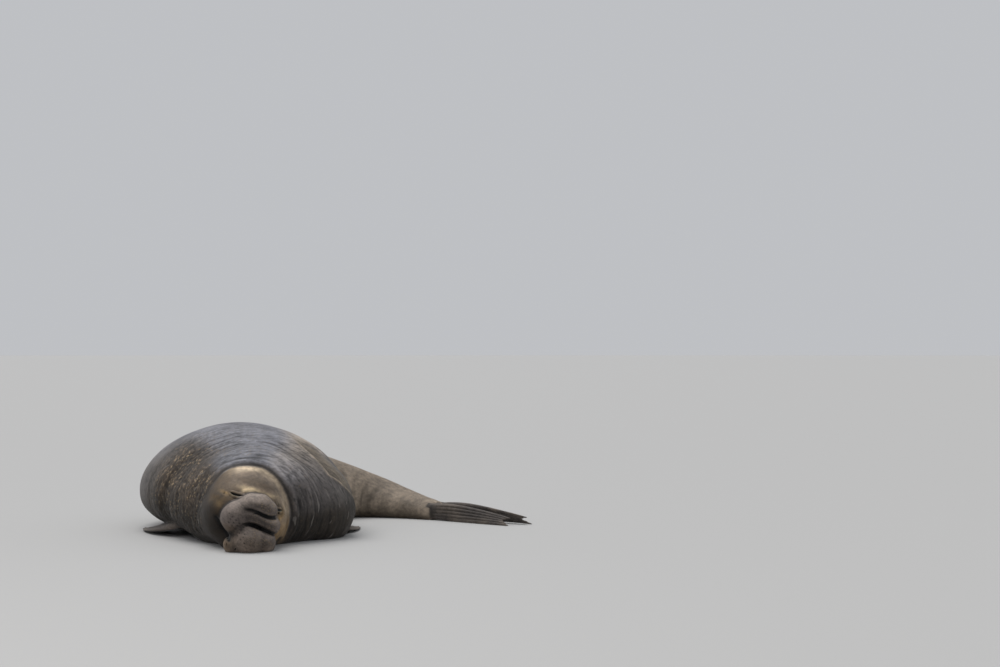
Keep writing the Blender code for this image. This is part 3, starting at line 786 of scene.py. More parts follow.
# Fine lines of the skin of the face: how far apart, how wide in shares of that, and how deep
fineLines = {"trunk": (0.0135, 0.22, 0.0011), "eye": (0.0125, 0.22, 0.0011), "brow": (0.019, 0.2, 0.0013)}


def inTrunkCreases(local):
    # distance from the nearer crease across the trunk, and its strength, which fades at one end
    away, strength = np.full(len(local), 9.0), np.zeros(len(local))
    for line in trunkCreases["lines"]:
        distance = nearLine(local, line)
        here = smoothStep(line[0][0] - 0.012, line[0][0] + trunkCreases["fades"], local[:, 0])
        here = here * (1 - 0.6 * smoothStep(0.04, 0.10, local[:, 0]))
        strength = np.where(distance < away, here, strength)
        away = np.minimum(away, distance)
    return away, strength * trunkShare(local) * smoothStep(0.02, 0.08, local[:, 1])


def nearLine(local, line):
    # distance in the face's plane from a bent line
    best = np.full(len(local), 9.0)
    flat = local[:, [0, 2]]
    for start, end in zip(line[:-1], line[1:]):
        start, way = np.array(start), np.array(end) - np.array(start)
        t = np.clip((flat - start) @ way / (way @ way), 0, 1)
        best = np.minimum(best, lengthOf(flat - start - t[:, None] * way))
    return best


def faceRelief(local, points):
    # mouth line, nostrils, whisker pits, ear openings and the fine skin of the face and trunk
    total = np.zeros(len(local))
    ahead = smoothStep(-0.22, -0.12, local[:, 1])
    for side in ("right", "left"):
        away = nearLine(local, mouthLine[side])
        total -= mouthLine["deep"] * hill(away, 0, mouthLine["wide"]) * ahead
    for away, near in inNostrils(local):
        total += near * (nostrils["rim"] * hill(away, 1.35, 0.35) - nostrils["deep"] * smoothStep(1.1, 0.6, away))
    for pad, pit in inPits(local, 1, whiskerPad["pitWide"]):
        total -= whiskerPad["pitDeep"] * pad["deep"] * pit
    for place in earFrames:
        s, out, t = inFrame(local, place)
        away = np.hypot(s / 0.8, t)
        total += (np.abs(out) < 0.05) * (0.002 * hill(away, 0.013, 0.005) - 0.010 * hill(away, 0, 0.0065))
    # the trunk's two creases with a swell beside them, and the old left end of the upper one filled
    away, strength = inTrunkCreases(local)
    total -= strength * trunkCreases["deep"] * hill(away, 0, trunkCreases["wide"])
    total += strength * trunkCreases["swell"] * hill(away, 0.018, 0.010)
    filled = hill(local[:, 2], np.interp(local[:, 0], *trunkCreases["filled"]), 0.011)
    filled = filled * smoothStep(-0.070, -0.030, local[:, 0]) * smoothStep(0.050, 0.010, local[:, 0])
    onTrunk = trunkShare(local)
    total += trunkCreases["fill"] * filled * onTrunk * smoothStep(0.02, 0.08, local[:, 1])
    # fine crosswise lines and cobbles on the trunk, calm where the skin's rings close on its front
    calm = onTrunk * smoothStep(0.010, 0.060, lengthOf(points - skinPole))
    apart, wide, deep = fineLines["trunk"]
    waved = local[:, 2] + 0.35 * local[:, 0] + 0.012 * softNoise(points, 0.06, 21)
    lines = grooves(waved / apart, wide) * smoothStep(-0.2, 0.6, softNoise(points, 0.045, 22))
    total -= deep * lines * calm
    total += 0.0009 * (cobbles(points, 0.011, 23) - 0.6) * calm
    # lines that circle the outer side of each eye, and lines that cross the brow
    bare = (1 - onTrunk) * ahead
    apart, wide, deep = fineLines["eye"]
    for eye in eyes.values():
        away = lengthOf(local - eye["spot"]) + 0.006 * softNoise(points, 0.05, 24)
        circle = grooves(away / apart, wide) * smoothStep(0.035, 0.050, away) * (1 - smoothStep(0.08, 0.12, away))
        circle = circle * smoothStep(0.0, 0.03, np.sign(eye["at"][0]) * (local[:, 0] - eye["spot"][0]))
        total -= deep * circle * bare * smoothStep(-0.5, 0.3, softNoise(points, 0.05, 25))
    apart, wide, deep = fineLines["brow"]
    brow = local[:, 1] + 0.25 * local[:, 2] + 0.010 * softNoise(points, 0.09, 26)
    total -= deep * grooves(brow / apart, wide) * bare * smoothStep(-0.3, 0.4, softNoise(points, 0.07, 27))
    return total


def trunkShare(local):
    # 1 on the trunk, 0 on the rest of the head
    return 1 - smoothStep(0.004, 0.014, trunkDistance(local))


# The coat lies this deep over the hide
coatDepth = 0.0025
# Where the skin is smoothed: how far round the place, and how many rounds
smoothing = {"face": (0.25, 2), "pole": (0.035, 30), "fold": (0.030, 4)}


def dressSkin(mesh):
    # every point moves out along its own normal by the heights of all the reliefs, less the
    # coat's depth, and less and less of it near the ground that the hide lies on
    mesh.shade_smooth()
    points = readPoints(mesh) + planCentre
    edges = readEdges(mesh)
    wide, rounds = smoothing["face"]
    facial = hill(fromSpot(inHead(points), "trunk"), 0, wide)
    points = relax(points, edges, 0.5 * facial * (points[:, 2] > 0.004), rounds)
    wide, rounds = smoothing["pole"]
    points = relax(points, edges, 0.5 * hill(lengthOf(points - skinPole), 0, wide), rounds)
    writePoints(mesh, points - planCentre)
    normals = readNormals(mesh)
    local = inHead(points)
    free = smoothStep(0.002, 0.035, points[:, 2])
    onHead = fromSpot(local, "face") < 0.5
    height = hideRelief(points, local, normals)
    height[onHead] += eyeRelief(local[onHead]) + faceRelief(local[onHead], points[onHead])
    points = points + (free * (height - coatDepth))[:, None] * normals
    beyond, turn, _ = aroundFace(local)
    wide, rounds = smoothing["fold"]
    inFold = hill(beyond, folds["firstAt"], wide) * foldStrength(turn) * (trunkDistance(local) > 0.02)
    points = relax(points, edges, 0.5 * inFold * free, rounds)
    points[:, 2] = np.maximum(points[:, 2], 0)
    writePoints(mesh, points - planCentre)


# The flippers: three guide points of each bent line, and the shape of the fore and hind pair
flipperLines = {
    "foreflipper_left": ((0.300, 1.080, 0.130), (0.480, 1.220, 0.050), (0.470, 1.600, 0.013)),
    "foreflipper_right": ((-0.500, 1.030, 0.130), (-0.730, 1.150, 0.050), (-0.810, 1.530, 0.013)),
    "hindflipper_left": ((1.000, 2.230, 0.062), (1.260, 2.010, 0.062), (1.560, 1.765, 0.026)),
    "hindflipper_right": ((1.080, 2.320, 0.062), (1.350, 2.120, 0.070), (1.700, 1.830, 0.028)),
}
flipperShapes = {
    "foreflipper": {
        "widths": (0.150, 0.180, 0.190, 0.170), "thicknesses": (0.070, 0.046, 0.026, 0.014),
        "digitsShort": (0, 0.05, 0.11, 0.18, 0.28), "notch": 0.020, "turn": (40, 3),
    },
    "hindflipper": {
        "widths": (0.105, 0.120, 0.100, 0.066), "thicknesses": (0.055, 0.044, 0.030, 0.016),
        "digitsShort": (0, 0.04, 0.08, 0.06, 0.02), "notch": 0.014, "turn": (90, 50),
    },
    "rows": 42, "columns": 40,
}


def flipperSurface(name):
    # upper and lower faces along the bent line: five raised digits with hollows between them,
    # a rounded edge, and a plane that turns from root to tip
    shape = flipperShapes[name.split("_")[0]]
    side = 1 if name.endswith("left") else -1
    rows, columns = flipperShapes["rows"], flipperShapes["columns"]
    share, across = np.meshgrid(np.linspace(0, 1, rows), np.linspace(-1, 1, columns + 1), indexing="ij")
    short = np.interp(-across, np.linspace(-0.8, 0.8, 5), shape["digitsShort"])
    between = 0.5 - 0.5 * np.cos(2 * math.pi * (across - 0.8) / 0.4)
    inside = np.abs(across) < 0.9
    run = share * (1 - short - shape["notch"] * between * inside)
    start, middle, end = [np.array(point) for point in flipperLines[name]]
    t = run[..., None]
    place = (1 - t) ** 2 * start + 2 * t * (1 - t) * middle + t**2 * end
    direction = unit(2 * (1 - t) * (middle - start) + 2 * t * (end - middle))
    quarters = np.linspace(0, 1, 4)
    width = smoothThrough(quarters, shape["widths"], share)
    thick = smoothThrough(quarters, shape["thicknesses"], share)
    turn = np.radians(smoothThrough([0, 1], shape["turn"], share))
    level = unit(np.cross(direction, [0, 0, 1.0])) * side
    upright = np.cross(level, direction) * side
    broad = np.cos(turn)[..., None] * level - np.sin(turn)[..., None] * upright
    normal = np.sin(turn)[..., None] * level + np.cos(turn)[..., None] * upright
    edge = np.sqrt(np.maximum(1 - across**4, 0.05))
    ridge = 1 - 0.30 * between**1.5 * inside * np.clip(share * 2, 0, 1)
    blunt = np.sqrt(np.clip((1 - share) / 0.05, 0.10, 1))
    centre = place + (across * width / 2)[..., None] * broad
    half = ((thick / 2 - coatDepth / 2) * edge * ridge * blunt)[..., None] * normal
    return centre + half, centre - half


def plateMesh(name, upper, lower, strip):
    # two sheets of points closed by a rim, with its part of the unwrap: a strip of two halves
    rows, columns = upper.shape[:2]
    count = rows * columns
    index = np.arange(count).reshape(rows, columns)
    faces = []
    for grid in (index, index[:, ::-1] + count):
        faces += gridFaces(grid[:, :-1], grid[:, 1:])
    rim = [*index[0, :-1], *index[:-1, -1], *index[-1, :0:-1], *index[:0:-1, 0]]
    for here, there in zip(rim, rim[1:] + rim[:1]):
        faces.append([int(there), int(here), int(here) + count, int(there) + count])
    points = np.concatenate([upper.reshape(-1, 3), lower.reshape(-1, 3)]) - planCentre
    points[:, 2] = np.maximum(points[:, 2], 0)
    mesh = bareMesh(name, points, faces)
    row, column = np.mgrid[0:rows, 0:columns]
    wide = 0.47 / bakeSheet["strips"]
    u = (strip + 0.01) / bakeSheet["strips"] + wide * column / (columns - 1)
    v = bakeSheet["stripsFrom"] + bakeSheet["stripTall"] * row / (rows - 1)
    placed = np.stack([np.concatenate([u.ravel(), u.ravel() + 1.04 * wide]), np.tile(v.ravel(), 2)], axis=-1)
    putSheet(mesh, placed[readCorners(mesh)])
    return mesh


tail = {"long": 0.095, "half": (0.020, 0.016), "rise": 0.72, "droop": 0.15, "sides": 24, "rings": 18}


def tailMesh():
    # a blunt cone behind the end of the spine, its root well inside the body
    x, y, _, height, hx, hy = [float(value) for value in spineAt(spineLength)]
    share = np.linspace(-0.3, 0.985, tail["rings"])[:, None]
    turn = anglesRound(tail["sides"])
    half = np.sqrt(1 - np.clip(share, 0, 1) ** 2)
    across = tail["half"][0] * half * np.cos(turn)
    upward = tail["half"][1] * half * np.sin(turn) + tail["rise"] * height - tail["droop"] * tail["long"] * share
    back = tail["long"] * share + 0 * across
    points = np.stack([x + back * hx + across * hy, y + back * hy - across * hx, upward], axis=-1)
    rings, sides = points.shape[:2]
    faces, index, _ = ringFaces(rings, sides)
    faces += [index[0].tolist(), index[-1].tolist()]
    mesh = bareMesh("tail", points.reshape(-1, 3) - planCentre, faces)
    ring, side = np.divmod(np.arange(rings * sides), sides)
    v = bakeSheet["stripsFrom"] + bakeSheet["stripTall"] * ring / rings
    placed = np.stack([0.82 + 0.16 * side / sides, v], axis=-1)
    putSheet(mesh, placed[readCorners(mesh)])
    return mesh


def joinTo(body, mesh):
    # fuses a limb to the body; its faces keep the second material slot as their mark
    limb = newObject(mesh.name, mesh)
    mesh.shade_smooth()
    for _ in range(2):
        mesh.materials.append(None)
    writeAll(mesh.polygons, "material_index", np.ones(len(mesh.polygons)), np.int32)
    modifier = body.modifiers.new("join", "BOOLEAN")
    modifier.operation, modifier.solver, modifier.object = "UNION", "EXACT", limb
    modifier.material_mode = "INDEX"
    depsgraph = bpy.context.evaluated_depsgraph_get()
    joined = bpy.data.meshes.new_from_object(body.evaluated_get(depsgraph))
    body.modifiers.clear()
    body.data = joined
    bpy.data.objects.remove(limb)


def limbPoints(mesh):
    # which points belong to faces that came with a limb, and which lie on the join
    marks = readAll(mesh.polygons, "material_index", kind=np.int32)
    marks = np.repeat(marks, readAll(mesh.polygons, "loop_total", kind=np.int32))
    corner = readCorners(mesh)
    onLimb = np.bincount(corner, marks, len(mesh.vertices)) > 0
    onBody = np.bincount(corner, 1 - marks, len(mesh.vertices)) > 0
    return onLimb, onLimb & onBody


joinMelt = {"weight": 0.6, "from": 0.004, "to": 0.035, "rounds": 14, "clearOfGround": 0.003}


def smoothJoins(mesh):
    # the crease where a limb meets the body melts away within a few centimetres
    points = readPoints(mesh)
    _, onJoin = limbPoints(mesh)
    tree = mathutils.kdtree.KDTree(int(onJoin.sum()))
    for number, point in enumerate(points[onJoin]):
        tree.insert(point, number)
    tree.balance()
    away = np.array([tree.find(point)[2] for point in points])
    weight = joinMelt["weight"] * (1 - smoothStep(joinMelt["from"], joinMelt["to"], away))
    weight = weight * (points[:, 2] > joinMelt["clearOfGround"])
    points = relax(points, readEdges(mesh), weight, joinMelt["rounds"])
    points[:, 2] = np.maximum(points[:, 2], 0)
    writePoints(mesh, points)


skinPoints = castSkin()
skinPole = skinPoints[0].mean(axis=0)
print("skin cast")
skin = newObject("skin", skinMesh(skinPoints))
eyePlaces = [(eye["spot"], eye["axes"]) for eye in eyes.values()]
refine(skin.data, lambda points: nearPlaces(points, eyePlaces, refineWithin["eye"]))
refine(skin.data, lambda points: nearPlaces(points, nostrils["frames"], refineWithin["nostril"]))
refine(skin.data, besideShoulder)
dressSkin(skin.data)
for _ in range(2):
    skin.data.materials.append(None)
for strip, name in enumerate(flipperLines):
    joinTo(skin, plateMesh(name, *flipperSurface(name), strip))
joinTo(skin, tailMesh())
smoothJoins(skin.data)
print("skin dressed", sum(len(face.vertices) - 2 for face in skin.data.polygons))

# Colours of the hide by region, linear
hideColours = {
    "flank": (0.112, 0.102, 0.096),
    # paler and bluer than the flank: the hide's grey with a painted sheen of the sky on top
    "back": (0.182, 0.184, 0.206),
    "backLeft": (0.430, 0.360, 0.290),
    # painted shade near the ground
    "low": (0.022, 0.017, 0.012),
    "band": (0.165, 0.132, 0.092),
    # pale lip of the shoulder's crease: a painted highlight where it catches the light
    "lip": (0.300, 0.235, 0.160),
    "hind": (0.285, 0.232, 0.178),
    # painted shade near the ground at the hind end
    "hindLowShade": (0.120, 0.095, 0.070),
    "neck": (0.088, 0.078, 0.075),
    "foldShade": (0.062, 0.050, 0.043),
    "shield": (0.058, 0.042, 0.029),
    # painted shade near the ground below the shield
    "shieldLowShade": (0.018, 0.013, 0.009),
    "forehead": (0.185, 0.142, 0.104),
    # pale rim of the face: partly its own tan, partly a painted highlight on the lit edge
    "rim": (0.760, 0.610, 0.430),
    "foreheadBrown": (0.110, 0.080, 0.054),
    "browTan": (0.820, 0.640, 0.400),
    "gold": (0.300, 0.195, 0.080),
    "cheek": (0.068, 0.041, 0.015),
    # painted shade near the ground below the face
    "cheekLowShade": (0.010, 0.006, 0.003),
    "leftCheek": (0.240, 0.160, 0.082),
    # painted highlight where a roll of the trunk faces the sky
    "trunkSkyHighlight": (0.250, 0.206, 0.175),
    "trunk": (0.112, 0.091, 0.080),
    "trunkLow": (0.196, 0.152, 0.122),
    "tip": (0.102, 0.069, 0.042),
    # painted shade in the mouth line and the nostrils
    "openingShade": (0.006, 0.004, 0.003),
    # painted shade: in the trunk's creases and under its rolls, in the crease behind the shoulder and in the whisker
    # pits
    "crease": (0.010, 0.007, 0.005),
    # greenish lower lid rim: partly the wet rim, partly a painted glint
    "lidRimGlint": (0.150, 0.160, 0.115),
    "lash": (0.012, 0.009, 0.008),
    "flipper": (0.072, 0.062, 0.056),
    "flipperTip": (0.135, 0.112, 0.092),
    "fleck": (0.340, 0.250, 0.150),
    "scratch": (0.360, 0.330, 0.300),
}
# How pale the face's rim is, by the turn round it: partly the face's own tan, partly a painted highlight on its lit
# edge
rimHighlightTurns = {
    "turns": (-1.4, -1.1, -0.77, -0.5, -0.2, 0.0, 0.35, 0.73, 1.04, 1.5),
    "pale": (0.0, 0.15, 0.60, 1.0, 0.95, 0.80, 0.62, 0.65, 0.45, 0.0),
}
# Soft patches on the face: colour, centre and half sizes in the head's left and up, strength
facePatches = (
    ("foreheadBrown", (0.010, 0.100), (0.100, 0.018), 0.90),
    ("foreheadBrown", (-0.125, 0.092), (0.075, 0.020), 0.80),
    ("foreheadBrown", (-0.225, 0.040), (0.040, 0.035), 0.60),
    ("foreheadBrown", (0.120, 0.060), (0.030, 0.050), 0.50),
    ("foreheadBrown", (-0.205, 0.030), (0.060, 0.022), 0.45),
    ("browTan", (-0.066, 0.046), (0.060, 0.018), 1.0),
    ("browTan", (0.026, 0.058), (0.060, 0.013), 0.75),
    ("cheek", (-0.185, -0.040), (0.040, 0.017), 0.62),
    ("gold", (-0.194, -0.010), (0.030, 0.013), 0.80),
    ("gold", (-0.228, -0.080), (0.040, 0.022), 0.26),
    ("gold", (0.158, -0.045), (0.016, 0.055), 0.90),
    ("cheek", (-0.250, -0.060), (0.045, 0.016), 0.60),
)


def tint(colours, *layers):
    # lays each named colour over those before it, by its amount at every point
    for name, amount in layers:
        colours = colours + (np.array(hideColours[name]) - colours) * np.clip(amount, 0, 1)[:, None]
    return colours


def hollows(mesh, rounds, deep):
    # how far each point lies under the smoothed surface (1) or stands above it (-1)
    points = readPoints(mesh)
    smooth = relax(points, readEdges(mesh), np.full(len(points), 0.5), rounds)
    sunk = ((smooth - points) * readNormals(mesh)).sum(axis=-1)
    return np.clip(sunk / deep, -1, 1)


def paintBody(colours, along, side, height, cloud):
    # paler and bluer over the back, partly a painted sheen of the sky; brown beside the neck; painted shade low down
    # by the ground; tan towards the hind end
    brown = smoothStep(0.25, 0.6, side) * smoothStep(0.62, 0.9, height) * hill(along, 0.95, 0.55)
    return tint(
        colours,
        ("back", smoothStep(0.60, 0.97, height + 0.06 * cloud)),
        ("backLeft", 0.85 * brown),
        ("low", smoothStep(0.46, 0.10, height + 0.10 * cloud) * (1 - smoothStep(2.0, 2.5, along))),
        ("band", 0.9 * smoothStep(1.45, 1.62, along) * smoothStep(-0.2, 0.4, side)),
        ("hind", smoothStep(1.95, 2.35, along + 0.08 * cloud)),
        ("hindLowShade", smoothStep(0.42, 0.08, height) * smoothStep(1.95, 2.35, along)),
    )


def paintNeck(colours, beyond, turn, height, cloud):
    # dark neck and shield, with painted shade in the fold round the face and down by the ground
    neck = smoothStep(0.0, 0.03, beyond) * (1 - smoothStep(0.22, 0.50, beyond + 0.1 * cloud))
    shield = shieldShare(beyond, turn, height + 0.1 * cloud)
    low = 0.9 * smoothStep(0.60, 0.30, height + 0.08 * cloud) * smoothStep(0.0, 0.05, beyond)
    strong = foldStrength(turn) * hill(beyond, 0.024, 0.018)
    colours = tint(
        colours,
        ("neck", 0.85 * neck * smoothStep(1.02, 0.84, height + 0.05 * cloud)),
        ("shield", 0.95 * shield),
        ("shieldLowShade", 0.9 * shield * smoothStep(0.50, 0.22, height)),
        ("low", low * (1 - smoothStep(0.6, 1.0, beyond))),
        ("foldShade", 0.60 * strong),
    )
    return colours, neck, shield


def paintFace(colours, local, beyond, turn, onTrunk, grain):
    # forehead with its pale rim, partly a painted highlight on the lit edge; dark cheeks and edges, with painted
    # shade low down by the ground; and the named patches
    left, forward, up = local.T
    within = 1 - smoothStep(-0.006, 0.010, beyond + 0.008 * grain)
    ragged = 1 - smoothStep(-0.035, 0.045, beyond + 0.020 * grain)
    crisp = foldStrength(turn)
    onFace = crisp * within + (1 - crisp) * ragged
    pale = np.interp(turn, rimHighlightTurns["turns"], rimHighlightTurns["pale"])
    low = smoothStep(0.02, -0.12, up + 0.03 * grain)
    onLeft = smoothStep(-0.02, 0.06, left)
    outer = smoothStep(-0.17, -0.26, left + 0.02 * grain)
    edge = hill(beyond, 0.020, 0.050) * smoothStep(-0.6, -1.2, turn) * (1 - onTrunk)
    deep = np.where(left < 0, smoothStep(-0.08, -0.17, up), smoothStep(-0.16, -0.27, up))
    colours = tint(
        colours,
        ("forehead", onFace),
        # painted highlight along the rim, over its tan
        ("rim", 0.9 * pale * hill(beyond + 0.004 * grain, -0.019, 0.025)),
        ("cheek", onFace * np.maximum(low, 0.85 * outer) * (1 - onLeft) * 0.95),
        ("shield", 0.85 * edge),
        ("shieldLowShade", 0.85 * edge * smoothStep(0.06, -0.10, up)),
        ("leftCheek", onFace * low * onLeft * 0.95),
        ("cheekLowShade", onFace * deep),
    )
    ahead = smoothStep(-0.30, -0.12, forward) * (1 - onTrunk)
    for name, middle, (wide, tall), strength in facePatches:
        patch = hill(left + 0.014 * grain, middle[0], wide) * hill(up + 0.008 * grain, middle[1], tall)
        colours = tint(colours, (name, strength * patch * ahead))
    return colours


def paintTrunk(colours, local, onTrunk, grain, outward):
    # painted highlight where a roll faces the sky, painted shade in the creases and under the rolls
    left, _, up = local.T
    low = onTrunk * smoothStep(-0.15, -0.24, up + 0.015 * grain)
    skyLit = smoothStep(0.05, 0.75, outward[:, 2]) * smoothStep(-0.30, 0.02, up + 0.6 * left)
    occlusionShade = np.zeros(len(local))
    near = fromSpot(local, "trunk") < 0.45
    for step, share in ((0.010, 0.45), (0.030, 0.55)):
        moved = headDistance(local[near] + step * (outward[near] @ headAxes.T))
        occlusionShade[near] += share * (1 - np.clip(moved / step, 0, 1))
    away, strength = inTrunkCreases(local)
    return tint(
        colours,
        ("trunk", onTrunk),
        ("trunkLow", low),
        ("tip", low * smoothStep(-0.03, -0.10, left + 0.015 * grain)),
        ("trunkSkyHighlight", 0.9 * skyLit * onTrunk),
        # painted shade where the hide is shut in by the head close by, and along the two creases
        ("crease", 0.85 * smoothStep(0.24, 0.74, occlusionShade)),
        ("crease", 0.25 * strength * hill(away, 0, 0.014)),
        ("crease", 0.92 * strength * hill(away, 0, 0.0068)),
    )


def paintOpenings(colours, local, ring):
    # the mouth line and nostrils in painted shade, the whisker pits dark with their follicles and painted shade,
    # dark lid edges and a painted glint on the lower lid's wet rim; also how wet each point is
    mouth = np.minimum(nearLine(local, mouthLine["right"]), nearLine(local, mouthLine["left"]))
    mouth = hill(mouth, 0, 0.014) * (ring < 0.5) * smoothStep(-0.22, -0.12, local[:, 1])
    colours = tint(colours, ("openingShade", 0.9 * mouth))
    wet = 0.4 * mouth
    for away, near in inNostrils(local):
        hole = (1 - smoothStep(0.7, 1.35, away)) * near
        colours = tint(colours, ("openingShade", hole))
        wet = np.maximum(wet, hole)
    # the pits are dark with their follicles and with painted shade in them
    for pad, pit in inPits(local, 1.8, whiskerPad["darkWide"]):
        colours = tint(colours, ("crease", pad["dark"] * pit))
        wet = np.maximum(wet, 0.6 * pit)
    for eye in eyes.values():
        _, out, t, share, away = slitPlace(local, eye)
        near = (np.abs(out) < 0.05) * np.exp(-((share / 1.25) ** 6))
        lash = near * (1 - smoothStep(0.002, 0.0065, away)) * (1 - 0.6 * (t < 0))
        # a painted glint on the wet rim of the lower lid
        rim = near * hill(away, 0.0015, 0.0024) * (t < 0) * (np.abs(share) < 1)
        colours = tint(colours, ("lash", lash), ("lidRimGlint", 0.8 * rim))
        wet = np.maximum(wet, rim)
    return colours, wet


def paintSkin(mesh):
    # the colour of the hide, the marks on it (flecks, wet places, arcs) and the lie of the folds
    points, normals = readPoints(mesh) + planCentre, readNormals(mesh)
    local = inHead(points)
    along, side, height = bodyPlace(points)
    beyond, turn, ring = aroundFace(local)
    onTrunk = trunkShare(local)
    cloud, grain = softNoise(points, 0.22, 31), softNoise(points, 0.05, 32)
    colours = np.tile(hideColours["flank"], (len(points), 1))
    colours = paintBody(colours, along, side, height, cloud)
    signed, strength = pastShoulder(points, normals)
    behind = plateau(signed, -0.002, 0.010, 0.10, 0.22)
    # behind the shoulder's crease: the brown band, painted shade in the crease and a painted highlight on its lip
    colours = tint(
        colours,
        ("band", 0.85 * strength * behind),
        ("crease", 0.55 * strength * hill(signed, 0.010, 0.007)),
        ("lip", 0.75 * strength * hill(signed, -0.010, 0.010)),
    )
    colours, neck, shield = paintNeck(colours, beyond, turn, height, cloud)
    colours = paintFace(colours, local, beyond, turn, onTrunk, grain)
    colours = paintTrunk(colours, local, onTrunk, grain, normals)
    colours, wet = paintOpenings(colours, local, ring)
    tips = limbMarks * smoothStep(-0.3, 0.6, softNoise(points, 0.09, 33))
    colours = tint(colours, ("flipper", limbMarks), ("flipperTip", 0.7 * tips))
    # painted shade in the hollows and a painted highlight on what stands up, at two sizes
    broad, fine = hollows(mesh, 24, 0.004), hollows(mesh, 3, 0.0012)
    shade = 1 - 0.55 * np.clip(broad, 0, 1) - 0.30 * np.clip(fine, 0, 1)
    shade += 0.20 * np.clip(-broad, 0, 1) + 0.12 * np.clip(-fine, 0, 1)
    colours = colours * (shade * (1 + 0.12 * cloud + 0.10 * grain))[:, None]
    onTop = smoothStep(0.7, 0.95, height) * smoothStep(0.05, 0.15, beyond) * (1 - smoothStep(1.0, 1.5, beyond))
    flecks = np.maximum(shield * smoothStep(0.12, 0.62, height), 0.12 * neck) + 0.20 * onTop
    speckled = 0.90 * smoothStep(-0.04, 0.06, local[:, 0]) * smoothStep(-0.30, -0.14, local[:, 2])
    speckled = speckled * smoothStep(0.030, 0.100, colours.max(axis=-1))
    flecks = flecks * (1 - onTrunk) + speckled * onTrunk
    arcs = plateau(beyond, 0.0, 0.06, 0.7, 1.2) * (1 - limbMarks) * (1 - onTrunk)
    putColours(mesh, "hide", np.clip(colours, 0.004, 1))
    putColours(mesh, "marks", np.stack([np.clip(flecks, 0, 1), np.clip(wet, 0, 1), arcs], axis=-1))
    # the folds lie round the face, and crosswise on the trunk
    lie = np.stack([turn, ring, along], axis=-1)
    crosswise = local[:, [0, 2, 1]] * np.array([4.6, 3.1, 6.0])
    putLie(mesh, np.where(onTrunk[:, None] > 0.5, crosswise, lie))
    bend = np.clip(np.abs(fine) + 0.5 * np.abs(broad), 0, 1)
    writeAll(mesh.attributes.new("bend", "FLOAT", "POINT").data, "value", bend)


class Material:
    # a new material, with short calls for the nodes that recur in its tree

    def __init__(self, name, roughness, colour=(0.5, 0.5, 0.5)):
        self.data = bpy.data.materials.new(name)
        self.data.use_nodes = True
        self.tree = self.data.node_tree
        self.shade({"Roughness": roughness, "Base Color": (*colour, 1)})
        self.place = self.add("TexCoord")["Object"]

    def fill(self, node, inputs):
        # plain values are set, and sockets are linked
        for key, value in inputs.items():
            if isinstance(value, bpy.types.NodeSocket):
                self.tree.links.new(value, node.inputs[key])
            else:
                node.inputs[key].default_value = value

    def shade(self, inputs):
        self.fill(self.tree.nodes["Principled BSDF"], inputs)

    def add(self, kind, inputs=None, **settings):
        # a node with its settings and its inputs; gives back its outputs
        node = self.tree.nodes.new("ShaderNode" + kind)
        for key, value in settings.items():
            setattr(node, key, value)
        self.fill(node, inputs or {})
        return node.outputs

    def fold(self, operation, values):
        # takes the values together, one after another
        total = values[0]
        for value in values[1:]:
            total = self.add("Math", {0: total, 1: value}, operation=operation)[0]
        return total

    def plus(self, *values):
        return self.fold("ADD", values)

    def times(self, *values):
        return self.fold("MULTIPLY", values)

    def attribute(self, name, output):
        return self.add("Attribute", attribute_name=name)[output]

    def stretch(self, vector, by):
        return self.add("VectorMath", {0: vector, 1: by}, operation="MULTIPLY")[0]

    def spread(self, value, low, high, to=(0, 1)):
        # the value's range from low to high, spread smoothly over another range
        inputs = {"Value": value, "From Min": low, "From Max": high, "To Min": to[0], "To Max": to[1]}
        return self.add("MapRange", inputs, interpolation_type="SMOOTHSTEP")["Result"]

    def noise(self, vector, scale, detail, roughness=0.55):
        inputs = {"Vector": vector, "Scale": scale, "Detail": detail, "Roughness": roughness}
        return self.add("TexNoise", inputs)["Fac"]

    def mix(self, amount, first, second):
        first, second = [(*c, 1) if isinstance(c, tuple) else c for c in (first, second)]
        return self.add("Mix", {0: amount, 6: first, 7: second}, data_type="RGBA", clamp_factor=True)[2]

    def grain(self, scale, detail, low, high, dark, pale):
        # two colours mixed by a fine noise between low and high
        return self.mix(self.spread(self.noise(self.place, scale, detail), low, high), dark, pale)


